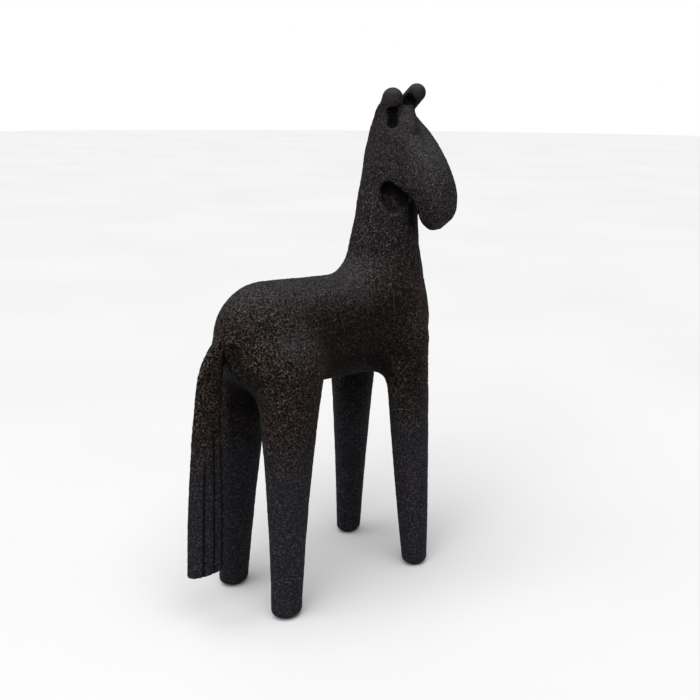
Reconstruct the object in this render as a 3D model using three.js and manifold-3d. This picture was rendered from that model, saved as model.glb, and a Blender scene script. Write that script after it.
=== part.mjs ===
// A standing horse in hollow cast bronze, its head turned to its own right.
// Eight castings are joined by inner sleeves, a tail dowel and cross pins filed flush, on four felt discs.
// Millimetres, +Z up. The horse faces -Y, and its right side is towards -X.

import * as THREE from "three";
import { LoftGeometry } from "three/addons/geometries/LoftGeometry.js";
import { mergeVertices } from "three/addons/utils/BufferGeometryUtils.js";
import Module from "manifold-3d";

const wasm = await Module();
wasm.setup();

// ---- Casting, joints and fits -------------------------------------------------------------------

const WALL = 4;
const JOINT_GAP = 0.3;
const SLEEVE_WALL = 3;
const SLEEVE_CLEARANCE = 0.4;
const SLEEVE_REACH = 11;
const PIN_RADIUS = 1.6;
const PIN_CLEARANCE = 0.3;
const PIN_FROM_JOINT = 5.5;
const PIN_SHY_OF_SURFACE = 0.4;
const DOWEL_RADIUS = 2.2;
const DOWEL_IN_RUMP = 13;
const DOWEL_IN_TAIL = 16;
const FELT_THICKNESS = 1.2;
const FELT_RADIUS = 6.2;
const FOOT_ROUND = 3.2;

// ---- Barrel: a long capsule from the shoulder to the rump, narrower than it is high ---------------
// Every height above the legs is counted from the hips, so the whole horse stands on HIP_Z.

const HIP_Z = 184;
const BARREL_SIDES = 24;
const BARREL = {
  length: 111,
  shoulderAboveHip: 12.5,
  shoulderRadius: 38.2,
  rumpAboveHip: 17.8,
  rumpRadius: 39.4,
  widthRatio: 0.86,
};
const SHOULDER_Y = -50;
const SHOULDER_Z = HIP_Z + BARREL.shoulderAboveHip;
const RUMP_Y = SHOULDER_Y + BARREL.length;
const RUMP_Z = HIP_Z + BARREL.rumpAboveHip;
const RUMP_END_Y = RUMP_Y + BARREL.rumpRadius;

// ---- Legs: a straight taper from the hip to the foot, a little deeper than it is wide -------------
// footBehind and hipBehind are distances behind the barrel's shoulder or rump centre.

const LEG_JOINT_BELOW_HIP = 31;
const LEG_JOINT_Z = HIP_Z - LEG_JOINT_BELOW_HIP;
const LEG_LEVELS = 30;
const LEG_SIDES = 16;
const HIND_LEG = {
  centreY: RUMP_Y,
  footX: 32.6,
  footBehind: 12.3,
  hipX: 27.6,
  hipBehind: 3.6,
  footRadius: 9.9,
  kneeRadius: 13.8,
  hipRadius: 20.6,
  depthRatio: 1.18,
  domeHeight: 44,
  domeLean: 12,
};
const FORE_LEG = {
  centreY: SHOULDER_Y,
  footX: 39.4,
  footBehind: -4.4,
  hipX: 29.6,
  hipBehind: 0.3,
  footRadius: 9.3,
  kneeRadius: 13.2,
  hipRadius: 16.2,
  depthRatio: 1.12,
  domeHeight: 42,
  domeLean: 12,
};

// ---- Neck: oval sections that turn with the head as they rise (turn in degrees) -------------------
// `at` is the height above the shoulder's centre and `behind` the distance behind it.

const NECK_JOINT_Z = SHOULDER_Z + 53.5;
const HEAD_JOINT_Z = SHOULDER_Z + 107.5;
const NECK_LEVELS = 10;
const NECK_SIDES = 20;
const NECK = [
  { at: 3.5, x: 0, behind: -0.5, width: 27.5, depth: 35, turn: 0 },
  { at: 35.5, x: 0, behind: -3, width: 26.5, depth: 34.5, turn: 0 },
  { at: 59.5, x: 0.3, behind: -3.7, width: 21.5, depth: 28, turn: 20 },
  { at: 83.5, x: 0.5, behind: -6.5, width: 18.3, depth: 24.4, turn: 52 },
  { at: 103.5, x: 0.5, behind: -9.6, width: 15.6, depth: 25.5, turn: 75 },
  { at: 123.5, x: 0.5, behind: -11, width: 14.8, depth: 25.2, turn: 86 },
  { at: 143.5, x: 0.2, behind: -13.7, width: 14, depth: 21.6, turn: 90 },
  { at: 159.5, x: 0, behind: -16, width: 9.5, depth: 13, turn: 90 },
];

// ---- Head: squared-off oval sections, given in the head's own frame, facing -Y --------------------
// `at` and the Rise values are heights above the head's joint, back and front are distances ahead of
// the head's upright axis, and half is half the width.

const HEAD_TURN = 90;
const HEAD_TILT = 2.8;
const HEAD_AXIS_Y = SHOULDER_Y - 19;
const HEAD_TILT_Z = HEAD_JOINT_Z + 6;
const HEAD_SQUARENESS = 3.4;
const HEAD_SIDES = 20;
const HEAD = [
  { at: -36.4, back: 33.5, front: 37.5, half: 4 },
  { at: -33, back: 29.8, front: 41.5, half: 8.2 },
  { at: -27, back: 26.4, front: 46.6, half: 11.5 },
  { at: -20, back: 24.4, front: 49.2, half: 13.6 },
  { at: -13, back: 21.5, front: 49, half: 15 },
  { at: -7, back: 15.5, front: 47.8, half: 16 },
  { at: -3, back: 6, front: 46.8, half: 16.8 },
  { at: 1.5, back: -5, front: 45.2, half: 17.4 },
  { at: 10.5, back: -15.9, front: 40.6, half: 18.2 },
  { at: 23.5, back: -19.8, front: 30.6, half: 18.8 },
  { at: 33, back: -19.4, front: 20.8, half: 19 },
  { at: 42, back: -17.8, front: 9.2, half: 18 },
  { at: 48, back: -15.6, front: 1.8, half: 16 },
  { at: 53.5, back: -12.5, front: -5.2, half: 10.5 },
];
const EAR = {
  rootAhead: -6.8,
  rootOut: 8.6,
  rootRise: 46,
  tipAhead: 3.6,
  tipOut: 14.4,
  tipRise: 62,
  radius: 7,
};
const EAR_SCOOP = {
  rootAhead: 4.4,
  rootOut: 7.2,
  rootRise: 41,
  tipAhead: 9.4,
  tipOut: 12,
  tipRise: 59,
  radius: 3.6,
};

// ---- Tail: a blade that hangs from the rump and ends above the ground -----------------------------
// `at` is the height above the rump's centre (the first row is the tail's end) and `behind` the
// distance behind the rump's rearmost point.

const TAIL_ROUND = 2;
const TAIL_SQUARENESS = 2.4;
const TAIL_SIDES = 16;
const TAIL = [
  { at: -164.3, behind: 19, thick: 6.8, depth: 16.2 },
  { at: -141.8, behind: 17.6, thick: 6.8, depth: 16.1 },
  { at: -81.8, behind: 14.6, thick: 6.3, depth: 14.2 },
  { at: -41.8, behind: 12, thick: 5.6, depth: 11.6 },
  { at: -21.8, behind: 9.6, thick: 5.4, depth: 9.8 },
  { at: 0.2, behind: 0.8, thick: 5.4, depth: 9.6 },
  { at: 12.2, behind: -4.9, thick: 5.6, depth: 9.4 },
  { at: 24.2, behind: -12.4, thick: 5.6, depth: 8.4 },
];
const TAIL_GROOVE_RADIUS = 0.9;
const TAIL_GROOVES = [
  { across: -0.62, top: -51.8 },
  { across: -0.22, top: -29.8 },
  { across: 0.18, top: -35.8 },
  { across: 0.58, top: -61.8 },
];

// ---- Materials ------------------------------------------------------------------------------------

/** The dark brown-black patina over all the cast bronze. */
const patina = () =>
  new THREE.MeshStandardMaterial({ color: 0x2b2624, roughness: 0.6, metalness: 0.7 });

/** Bare machined bronze, hidden inside the joints. */
const bareBronze = () =>
  new THREE.MeshStandardMaterial({ color: 0x8c6a3c, roughness: 0.4, metalness: 0.9 });

/** The felt discs under the feet. */
const felt = () =>
  new THREE.MeshStandardMaterial({ color: 0x1f1f20, roughness: 0.95, metalness: 0 });

// ---- Solids: three.js geometry joined and cut -----------------------------------------------------

/** Turns a closed geometry into a solid: vertices are merged and collapsed triangles left out. */
function solid(geometry) {
  const bare = new THREE.BufferGeometry();
  bare.setAttribute("position", geometry.getAttribute("position"));
  bare.setIndex(geometry.getIndex());
  const merged = mergeVertices(bare, 1e-4);
  const index = merged.index.array;
  const triangles = [];
  for (let i = 0; i < index.length; i += 3) {
    const [a, b, c] = [index[i], index[i + 1], index[i + 2]];
    if (a !== b && b !== c && c !== a) triangles.push(a, b, c);
  }
  return new wasm.Manifold(
    new wasm.Mesh({
      numProp: 3,
      vertProperties: merged.attributes.position.array,
      triVerts: new Uint32Array(triangles),
    }),
  );
}

/** Joins any number of solids. */
function join(solids) {
  return solids.reduce((whole, part) => whole.add(part));
}

/** Cuts every solid in the list from the body. */
function cut(body, tools) {
  return tools.reduce((rest, tool) => rest.subtract(tool), body);
}

/** A named mesh of a solid. */
function meshOf(name, body, material) {
  const shape = body.getMesh();
  const geometry = new THREE.BufferGeometry();
  geometry.setAttribute("position", new THREE.BufferAttribute(shape.vertProperties, 3));
  geometry.setIndex(new THREE.BufferAttribute(shape.triVerts, 1));
  geometry.computeVertexNormals();
  const mesh = new THREE.Mesh(geometry, material);
  mesh.name = name;
  return mesh;
}

/** A rod of the given radius between two points. */
function rod(start, end, radius, sides = 10) {
  const geometry = new THREE.CylinderGeometry(radius, radius, start.distanceTo(end), sides);
  return placedBetween(geometry, start, end);
}

/** A round-ended rod whose end centres are the two points. */
function roundRod(start, end, radius) {
  const geometry = new THREE.CapsuleGeometry(radius, start.distanceTo(end), 3, 12);
  return placedBetween(geometry, start, end);
}

/** Moves a geometry that stands along its own Y onto the line between two points. */
function placedBetween(geometry, start, end) {
  const along = end.clone().sub(start).normalize();
  const turn = new THREE.Quaternion().setFromUnitVectors(new THREE.Vector3(0, 1, 0), along);
  const middle = start.clone().add(end).multiplyScalar(0.5);
  const place = new THREE.Matrix4().compose(middle, turn, new THREE.Vector3(1, 1, 1));
  return solid(geometry.applyMatrix4(place));
}

// ---- Lofts ----------------------------------------------------------------------------------------

/** A smooth function of `at` through a table of sizes. */
function smooth(rows) {
  const keys = Object.keys(rows[0]).filter((key) => key !== "at");
  const places = rows.map((row) => row.at);
  const sizes = rows.flatMap((row) => keys.map((key) => row[key]));
  const curve = new THREE.CubicInterpolant(places, sizes, keys.length);
  return (at) => {
    const values = curve.evaluate(at);
    return Object.fromEntries(keys.map((key, i) => [key, values[i]]));
  };
}

/** Evenly spaced values from one number to another, ends included. */
function steps(from, to, count) {
  return Array.from({ length: count + 1 }, (_, i) => THREE.MathUtils.lerp(from, to, i / count));
}

/** The two end heights and every whole pitch from `origin` between them, so that nested lofts match. */
function levels(from, to, pitch, origin = 0) {
  const first = Math.floor((from - origin) / pitch) + 1;
  const last = Math.ceil((to - origin) / pitch) - 1;
  const count = Math.max(last - first + 1, 0);
  const inner = Array.from({ length: count }, (_, i) => origin + (first + i) * pitch);
  return [from, ...inner, to];
}

/**
 * A level ring at height z: an oval with half axes width (along X) and depth (along Y), turned by
 * `turn` degrees from +Y towards +X. A squareness above 2 fills out its corners.
 */
function ovalRing(section, z, sides, squareness = 2) {
  const turn = THREE.MathUtils.degToRad(section.turn ?? 0);
  const acrossAxis = new THREE.Vector2(Math.cos(turn), -Math.sin(turn));
  const alongAxis = new THREE.Vector2(Math.sin(turn), Math.cos(turn));
  return Array.from({ length: sides }, (_, i) => {
    const angle = (2 * Math.PI * i) / sides;
    const [c, s] = [Math.cos(angle), Math.sin(angle)];
    const reach = (Math.abs(c) ** squareness + Math.abs(s) ** squareness) ** (-1 / squareness);
    const across = section.width * c * reach;
    const along = section.depth * s * reach;
    return new THREE.Vector3(
      section.x + across * acrossAxis.x + along * alongAxis.x,
      section.y + across * acrossAxis.y + along * alongAxis.y,
      z,
    );
  });
}

/** A closed loft through rings, with flat ends. */
function loft(rings) {
  return solid(new LoftGeometry(rings, { capStart: true, capEnd: true }));
}

// ---- Legs -----------------------------------------------------------------------------------------

/** The leg's level section at height z; above the hip it closes in as a dome that leans inwards. */
function legSection(leg, side, z, inset) {
  const share = Math.min(z, HIP_Z) / HIP_Z;
  const rise = THREE.MathUtils.clamp((z - HIP_Z) / (leg.domeHeight - inset), 0, 1);
  const footPart = 2 * (share - 0.5) * (share - 1);
  const kneePart = 4 * share * (1 - share);
  const hipPart = 2 * share * (share - 0.5);
  const full =
    leg.footRadius * footPart + leg.kneeRadius * kneePart + leg.hipRadius * hipPart - inset;
  const radius = full * Math.sqrt(1 - rise * rise);
  return {
    x: side * (THREE.MathUtils.lerp(leg.footX, leg.hipX, share) - leg.domeLean * rise * rise),
    y: leg.centreY + THREE.MathUtils.lerp(leg.footBehind, leg.hipBehind, share),
    width: radius,
    depth: radius * leg.depthRatio,
  };
}

/** A stretch of a leg between two heights, inset from its outer surface. */
function legStretch(leg, side, from, to, inset) {
  const heights = levels(from, to, LEG_LEVELS);
  return loft(heights.map((z) => ovalRing(legSection(leg, side, z, inset), z, LEG_SIDES)));
}

/** The leg's outside from its rounded foot up to the joint. */
function legOutside(leg, side) {
  const sole = FELT_THICKNESS + JOINT_GAP;
  const rounded = [0, 30, 60].map((degrees) => {
    const angle = THREE.MathUtils.degToRad(degrees);
    const z = sole + FOOT_ROUND * (1 - Math.cos(angle));
    return ovalRing(legSection(leg, side, z, FOOT_ROUND * (1 - Math.sin(angle))), z, LEG_SIDES);
  });
  const heights = levels(sole + FOOT_ROUND, LEG_JOINT_Z - JOINT_GAP / 2, LEG_LEVELS);
  const straight = heights.map((z) => ovalRing(legSection(leg, side, z, 0), z, LEG_SIDES));
  return loft([...rounded, ...straight]);
}

/** The top of a leg where it is one with the barrel: its outside when inset is 0, its core at WALL. */
function hipStretch(leg, side, from, inset) {
  const dome = [0, 22, 44, 62].map((degrees) => {
    const angle = THREE.MathUtils.degToRad(degrees);
    return HIP_Z + (leg.domeHeight - inset) * Math.sin(angle);
  });
  const heights = [...levels(from, HIP_Z, LEG_LEVELS).slice(0, -1), ...dome];
  return loft(heights.map((z) => ovalRing(legSection(leg, side, z, inset), z, LEG_SIDES)));
}

/** The felt disc under a foot. */
function feltDisc(leg, side) {
  const foot = legSection(leg, side, 0, 0);
  return rod(
    new THREE.Vector3(foot.x, foot.y, 0),
    new THREE.Vector3(foot.x, foot.y, FELT_THICKNESS),
    Math.min(FELT_RADIUS, leg.footRadius - FOOT_ROUND),
    24,
  );
}

// ---- Barrel ---------------------------------------------------------------------------------------

/** The barrel as a loft of upright oval rings from chest to rump, inset from its outer surface. */
function barrel(inset) {
  const angles = [78, 55, 28];
  const ends = angles.map((degrees) => THREE.MathUtils.degToRad(degrees));
  const front = ends.map((angle) => ({ share: 0, angle: -angle }));
  const straight = steps(0, 1, 3).map((share) => ({ share, angle: 0 }));
  const rear = ends.toReversed().map((angle) => ({ share: 1, angle }));
  const rings = [...front, ...straight, ...rear].map(({ share, angle }) => {
    const radius =
      THREE.MathUtils.lerp(BARREL.shoulderRadius, BARREL.rumpRadius, share) - inset;
    const y = THREE.MathUtils.lerp(SHOULDER_Y, RUMP_Y, share) + radius * Math.sin(angle);
    const z = THREE.MathUtils.lerp(SHOULDER_Z, RUMP_Z, share);
    const high = radius * Math.cos(angle);
    const wide = high * BARREL.widthRatio;
    return Array.from({ length: BARREL_SIDES }, (_, i) => {
      const around = (2 * Math.PI * i) / BARREL_SIDES;
      return new THREE.Vector3(-wide * Math.cos(around), y, z + high * Math.sin(around));
    });
  });
  return loft(rings);
}

// ---- Neck -----------------------------------------------------------------------------------------

const neckAt = smooth(NECK);
const NECK_FOOT_Z = SHOULDER_Z + NECK[0].at;
const NAPE_TOP_Z = SHOULDER_Z + NECK[NECK.length - 1].at;

/** The neck's level section at height z, inset from its outer surface. */
function neckSection(z, inset) {
  const size = neckAt(z - SHOULDER_Z);
  return {
    x: size.x,
    y: SHOULDER_Y + size.behind,
    width: size.width - inset,
    depth: size.depth - inset,
    turn: size.turn,
  };
}

/** A stretch of the neck between two heights. */
function neckStretch(from, to, inset) {
  const heights = levels(from, to, NECK_LEVELS, NECK_JOINT_Z);
  return loft(heights.map((z) => ovalRing(neckSection(z, inset), z, NECK_SIDES)));
}

// ---- Head -----------------------------------------------------------------------------------------

const headAt = smooth(HEAD);
const muzzleRise = HEAD[0].at;
const pollRise = HEAD[HEAD.length - 1].at;

/** Turns and tilts what was made in the head's own frame onto the top of the neck. */
const headPlace = new THREE.Matrix4()
  .makeTranslation(0, HEAD_AXIS_Y, HEAD_TILT_Z)
  .multiply(new THREE.Matrix4().makeRotationZ(-THREE.MathUtils.degToRad(HEAD_TURN)))
  .multiply(new THREE.Matrix4().makeRotationY(THREE.MathUtils.degToRad(HEAD_TILT)))
  .multiply(new THREE.Matrix4().makeTranslation(0, 0, -HEAD_TILT_Z));

/** A point by its distance ahead of the head's axis, out to one side, and above the head's joint. */
function onHead(ahead, out, rise) {
  return new THREE.Vector3(out, -ahead, HEAD_JOINT_Z + rise).applyMatrix4(headPlace);
}

/** The head's outside when inset is 0, its hollow core at WALL. */
function skull(inset, count) {
  const rings = steps(muzzleRise + inset, pollRise - inset, count).map((rise) => {
    const size = headAt(rise);
    const section = {
      x: 0,
      y: -(size.front + size.back) / 2,
      width: size.half - inset,
      depth: (size.front - size.back) / 2 - inset,
    };
    const ring = ovalRing(section, HEAD_JOINT_Z + rise, HEAD_SIDES, HEAD_SQUARENESS);
    return ring.map((point) => point.applyMatrix4(headPlace));
  });
  return loft(rings);
}

/** A round-ended form on one side of the head, from its root to its tip. */
function onOneEar(form, side) {
  const root = onHead(form.rootAhead, side * form.rootOut, form.rootRise);
  const tip = onHead(form.tipAhead, side * form.tipOut, form.tipRise);
  return roundRod(root, tip, form.radius);
}

// ---- Tail -----------------------------------------------------------------------------------------

const tailAt = smooth(TAIL);
const TAIL_END_Z = RUMP_Z + TAIL[0].at;
const TAIL_TOP_Z = RUMP_Z + TAIL[TAIL.length - 1].at;

/** The tail's level section at height z. */
function tailSection(z, inset) {
  const size = tailAt(z - RUMP_Z);
  return {
    x: 0,
    y: RUMP_END_Y + size.behind,
    width: size.thick - inset,
    depth: size.depth - inset,
  };
}

/** The whole tail, rounded at its lower end and reaching into the rump at its root. */
function tailOutside() {
  const rounded = [0, 45].map((degrees) => {
    const angle = THREE.MathUtils.degToRad(degrees);
    const z = TAIL_END_Z + TAIL_ROUND * (1 - Math.cos(angle));
    return ovalRing(tailSection(z, TAIL_ROUND * (1 - Math.sin(angle))), z, TAIL_SIDES, TAIL_SQUARENESS);
  });
  const hanging = steps(TAIL_END_Z + TAIL_ROUND, TAIL_TOP_Z, 9).map((z) =>
    ovalRing(tailSection(z, 0), z, TAIL_SIDES, TAIL_SQUARENESS),
  );
  return loft([...rounded, ...hanging]);
}

/** One groove down a side of the tail, `across` being its place from the front (-1) to the rear (1). */
function tailGroove(groove, side) {
  const pointAt = (z) => {
    const section = tailSection(z, 0);
    const fullness = 1 - Math.abs(groove.across) ** TAIL_SQUARENESS;
    const out = section.width * fullness ** (1 / TAIL_SQUARENESS);
    return new THREE.Vector3(side * out, section.y + groove.across * section.depth, z);
  };
  const heights = steps(TAIL_END_Z - 2 * TAIL_ROUND, RUMP_Z + groove.top, 2);
  const stretches = heights
    .slice(1)
    .map((z, i) => rod(pointAt(heights[i]), pointAt(z), TAIL_GROOVE_RADIUS, 5));
  return join(stretches);
}

/** The dowel that holds the tail to the rump, thickened by `clearance` for its holes. */
function tailDowel(clearance) {
  const seam = tailSection(TAIL_ROOT_Z, 0);
  const below = tailSection(TAIL_ROOT_Z - DOWEL_IN_TAIL, 0);
  const centre = new THREE.Vector3(0, seam.y, TAIL_ROOT_Z);
  const along = new THREE.Vector3(0, below.y - seam.y, -DOWEL_IN_TAIL).normalize();
  const inTail = centre.clone().addScaledVector(along, DOWEL_IN_TAIL + clearance);
  const inRump = centre.clone().addScaledVector(along, -DOWEL_IN_RUMP - clearance);
  return rod(inRump, inTail, DOWEL_RADIUS + clearance);
}

/** The height at which the tail's centre line leaves the rump's rounded end. */
const TAIL_ROOT_Z = steps(HIP_Z, TAIL_TOP_Z, 200).find((z) => {
  const height = z - RUMP_Z;
  const rumpEnd = RUMP_Y + Math.sqrt(Math.max(BARREL.rumpRadius ** 2 - height ** 2, 0));
  return tailSection(z, 0).y < rumpEnd;
});

// ---- Joints ---------------------------------------------------------------------------------------

/** A sleeve inside a joint: a short tube that follows the walls of the two castings. */
function sleeve(stretch, jointZ) {
  const outside = stretch(
    jointZ - SLEEVE_REACH,
    jointZ + SLEEVE_REACH,
    WALL + SLEEVE_CLEARANCE,
  );
  const inside = stretch(
    jointZ - SLEEVE_REACH - 1,
    jointZ + SLEEVE_REACH + 1,
    WALL + SLEEVE_CLEARANCE + SLEEVE_WALL,
  );
  return outside.subtract(inside);
}

/** A cross pin at height z through a casting's wall and the sleeve behind it. */
function crossPin(section, direction, reach, z, clearance) {
  const centre = new THREE.Vector3(section.x, section.y, z);
  const depth = WALL + SLEEVE_CLEARANCE + SLEEVE_WALL;
  const outer = centre.clone().addScaledVector(direction, reach - PIN_SHY_OF_SURFACE + 9 * clearance);
  const inner = centre.clone().addScaledVector(direction, reach - depth - 1 - clearance);
  return rod(inner, outer, PIN_RADIUS + clearance);
}

/** The two cross pins of a joint, above and below it, as [upper, lower] makers by clearance. */
function jointPins(jointZ, placeAt) {
  return [PIN_FROM_JOINT, -PIN_FROM_JOINT].map((offset) => (clearance) => {
    const z = jointZ + offset;
    const { section, direction, reach } = placeAt(z);
    return crossPin(section, direction, reach, z, clearance);
  });
}

// ---- The castings and what joins them -------------------------------------------------------------

const group = new THREE.Group();

/** Adds a named mesh to the horse. */
function addPiece(name, body, material) {
  group.add(meshOf(name, body, material));
}

const half = JOINT_GAP / 2;
const legs = [
  { name: "fore_right", size: FORE_LEG, side: -1 },
  { name: "fore_left", size: FORE_LEG, side: 1 },
  { name: "hind_right", size: HIND_LEG, side: -1 },
  { name: "hind_left", size: HIND_LEG, side: 1 },
];

for (const leg of legs) {
  leg.pins = jointPins(LEG_JOINT_Z, (z) => {
    const section = legSection(leg.size, leg.side, z, 0);
    return { section, direction: new THREE.Vector3(leg.side, 0, 0), reach: section.width };
  });
  const stretch = (from, to, inset) => legStretch(leg.size, leg.side, from, to, inset);
  leg.sleeve = sleeve(stretch, LEG_JOINT_Z);
}

/** The crest side of the neck, where its joint pins go in. */
function crestPlace(z) {
  const section = neckSection(z, 0);
  const turn = THREE.MathUtils.degToRad(section.turn);
  const direction = new THREE.Vector3(Math.sin(turn), Math.cos(turn), 0);
  return { section, direction, reach: section.depth };
}

const neckPins = jointPins(NECK_JOINT_Z, crestPlace);
const headPins = jointPins(HEAD_JOINT_Z, crestPlace);
const neckSleeve = sleeve(neckStretch, NECK_JOINT_Z);
const headSleeve = sleeve(neckStretch, HEAD_JOINT_Z);

/** The barrel with its four hips and the foot of the neck, grown or shrunk by `inset`. */
function trunk(inset, opening) {
  const hips = legs.map((leg) =>
    hipStretch(leg.size, leg.side, LEG_JOINT_Z + half - opening, inset),
  );
  const neckFoot = neckStretch(NECK_FOOT_Z + WALL, NECK_JOINT_Z - half + opening, inset);
  return join([barrel(inset), ...hips, neckFoot]);
}

const torso = cut(trunk(0, 0).subtract(trunk(WALL, 1)), [
  tailDowel(PIN_CLEARANCE),
  neckPins[1](PIN_CLEARANCE),
  ...legs.map((leg) => leg.pins[0](PIN_CLEARANCE)),
]);
addPiece("torso", torso, patina());

const neck = cut(
  neckStretch(NECK_JOINT_Z + half, HEAD_JOINT_Z - half, 0).subtract(
    neckStretch(NECK_JOINT_Z - 1, HEAD_JOINT_Z + 1, WALL),
  ),
  [neckPins[0](PIN_CLEARANCE), headPins[1](PIN_CLEARANCE)],
);
addPiece("neck", neck, patina());

const headOutside = join([
  skull(0, 14),
  neckStretch(HEAD_JOINT_Z + half, NAPE_TOP_Z, 0),
  onOneEar(EAR, -1),
  onOneEar(EAR, 1),
]);
const headCore = join([
  skull(WALL, 9),
  neckStretch(HEAD_JOINT_Z - 1, NAPE_TOP_Z - 3 * WALL, WALL),
]);
const neckRoom = neckStretch(NECK_JOINT_Z, HEAD_JOINT_Z + half, -JOINT_GAP);
const head = cut(headOutside.subtract(headCore), [
  neckRoom,
  onOneEar(EAR_SCOOP, -1),
  onOneEar(EAR_SCOOP, 1),
  headPins[0](PIN_CLEARANCE),
]);
addPiece("head", head, patina());

for (const leg of legs) {
  const core = legStretch(leg.size, leg.side, 3 * WALL, LEG_JOINT_Z + 1, WALL);
  const casting = legOutside(leg.size, leg.side).subtract(core);
  addPiece(`leg_${leg.name}`, casting.subtract(leg.pins[1](PIN_CLEARANCE)), patina());
}

const grooves = TAIL_GROOVES.flatMap((groove) => [tailGroove(groove, -1), tailGroove(groove, 1)]);
const tail = cut(tailOutside(), [trunk(-JOINT_GAP, 0), tailDowel(PIN_CLEARANCE), ...grooves]);
addPiece("tail", tail, patina());

for (const leg of legs) {
  const pinHoles = leg.pins.map((pin) => pin(PIN_CLEARANCE));
  addPiece(`sleeve_leg_${leg.name}`, cut(leg.sleeve, pinHoles), bareBronze());
  addPiece(`pin_upper_leg_${leg.name}`, leg.pins[0](0), bareBronze());
  addPiece(`pin_lower_leg_${leg.name}`, leg.pins[1](0), bareBronze());
  addPiece(`felt_${leg.name}`, feltDisc(leg.size, leg.side), felt());
}

const neckPinHoles = neckPins.map((pin) => pin(PIN_CLEARANCE));
addPiece("sleeve_neck", cut(neckSleeve, neckPinHoles), bareBronze());
addPiece("pin_upper_neck", neckPins[0](0), bareBronze());
addPiece("pin_lower_neck", neckPins[1](0), bareBronze());

const headPinHoles = headPins.map((pin) => pin(PIN_CLEARANCE));
addPiece("sleeve_head", cut(headSleeve, headPinHoles), bareBronze());
addPiece("pin_upper_head", headPins[0](0), bareBronze());
addPiece("pin_lower_head", headPins[1](0), bareBronze());

addPiece("dowel_tail", tailDowel(0), bareBronze());

// The origin is on the ground below the middle of the horse.
const bounds = new THREE.Box3().setFromObject(group);
const middle = bounds.getCenter(new THREE.Vector3());
group.position.set(-middle.x, -middle.y, -bounds.min.z);

export default group;
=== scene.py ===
"""A standing horse in cast bronze: its fine skin, patina, felt pads and studio, around the CAD frame.

The castings are modelled together as one smooth form, the way a sculptor models the wax, and the form is
then parted into its castings at the joints. Lengths are in millimetres in the horse's own frame (ground at
z = 0, sagittal plane at x = 0, the horse facing -Y) until a mesh is made, which is in metres in the CAD
frame.
"""

import logging
import math
from dataclasses import dataclass, field
from enum import Enum

import bpy
import numpy as np
from mathutils import Euler, Matrix, Vector


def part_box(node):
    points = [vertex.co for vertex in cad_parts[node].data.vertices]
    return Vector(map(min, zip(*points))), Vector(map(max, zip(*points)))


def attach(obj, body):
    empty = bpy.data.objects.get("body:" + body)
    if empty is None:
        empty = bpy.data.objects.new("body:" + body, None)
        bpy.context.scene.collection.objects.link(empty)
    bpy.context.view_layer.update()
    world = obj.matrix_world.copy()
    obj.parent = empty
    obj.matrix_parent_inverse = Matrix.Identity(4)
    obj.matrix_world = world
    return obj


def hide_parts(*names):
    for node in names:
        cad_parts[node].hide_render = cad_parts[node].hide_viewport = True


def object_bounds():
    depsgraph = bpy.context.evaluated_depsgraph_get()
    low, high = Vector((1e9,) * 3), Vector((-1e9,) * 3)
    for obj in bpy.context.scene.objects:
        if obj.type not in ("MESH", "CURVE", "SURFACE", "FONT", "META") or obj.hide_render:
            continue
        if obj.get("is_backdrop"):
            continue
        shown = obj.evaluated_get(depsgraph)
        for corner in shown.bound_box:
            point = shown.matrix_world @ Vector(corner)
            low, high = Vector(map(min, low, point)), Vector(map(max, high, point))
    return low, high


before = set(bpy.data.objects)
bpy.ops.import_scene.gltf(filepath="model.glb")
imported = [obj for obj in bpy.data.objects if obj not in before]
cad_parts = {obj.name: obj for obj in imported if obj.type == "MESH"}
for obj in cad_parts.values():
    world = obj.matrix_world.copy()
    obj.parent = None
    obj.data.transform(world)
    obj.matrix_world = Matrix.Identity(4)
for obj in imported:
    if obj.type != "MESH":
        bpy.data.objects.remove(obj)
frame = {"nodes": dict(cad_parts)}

MM = 0.001
log = logging.getLogger("horse")


# ---- Forms: functions that give a point's distance to a surface ------------------------------------


def smooth_min(a: np.ndarray, b: np.ndarray, blend: float) -> np.ndarray:
    """The union of two forms with a fillet: the lesser distance, lowered where the two are alike.

    Args:
        a: Distances to the first form.
        b: Distances to the second form.
        blend: How far apart the two distances may be and still be filleted, in mm.

    Returns:
        The distances to the joined form.
    """
    share = np.clip(0.5 + 0.5 * (b - a) / blend, 0.0, 1.0)
    return b + (a - b) * share - blend * share * (1.0 - share)


def smooth_max(a: np.ndarray, b: np.ndarray, blend: float) -> np.ndarray:
    """What two forms have in common, with a rounded edge: smooth_min turned inside out.

    Args:
        a: Distances to the first form.
        b: Distances to the second form.
        blend: How wide the rounded edge is, in mm.

    Returns:
        The distances to the common form.
    """
    return -smooth_min(-a, -b, blend)


def capsule(
    points: np.ndarray,
    start: tuple[float, float, float],
    end: tuple[float, float, float],
    start_radius: float,
    end_radius: float,
) -> np.ndarray:
    """A round-ended taper: the distance to the nearest point of a segment, less the radius there.

    Args:
        points: Points, with x, y and z last.
        start: One end of the segment.
        end: The other end.
        start_radius: The radius at the start.
        end_radius: The radius at the end.

    Returns:
        The distance of each point.
    """
    first = np.asarray(start, points.dtype)
    along = np.asarray(end, points.dtype) - first
    share = np.clip((points - first) @ along / (along @ along), 0.0, 1.0)
    gap = np.linalg.norm(points - first - share[..., None] * along, axis=-1)
    return gap - (start_radius + share * (end_radius - start_radius))


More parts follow.
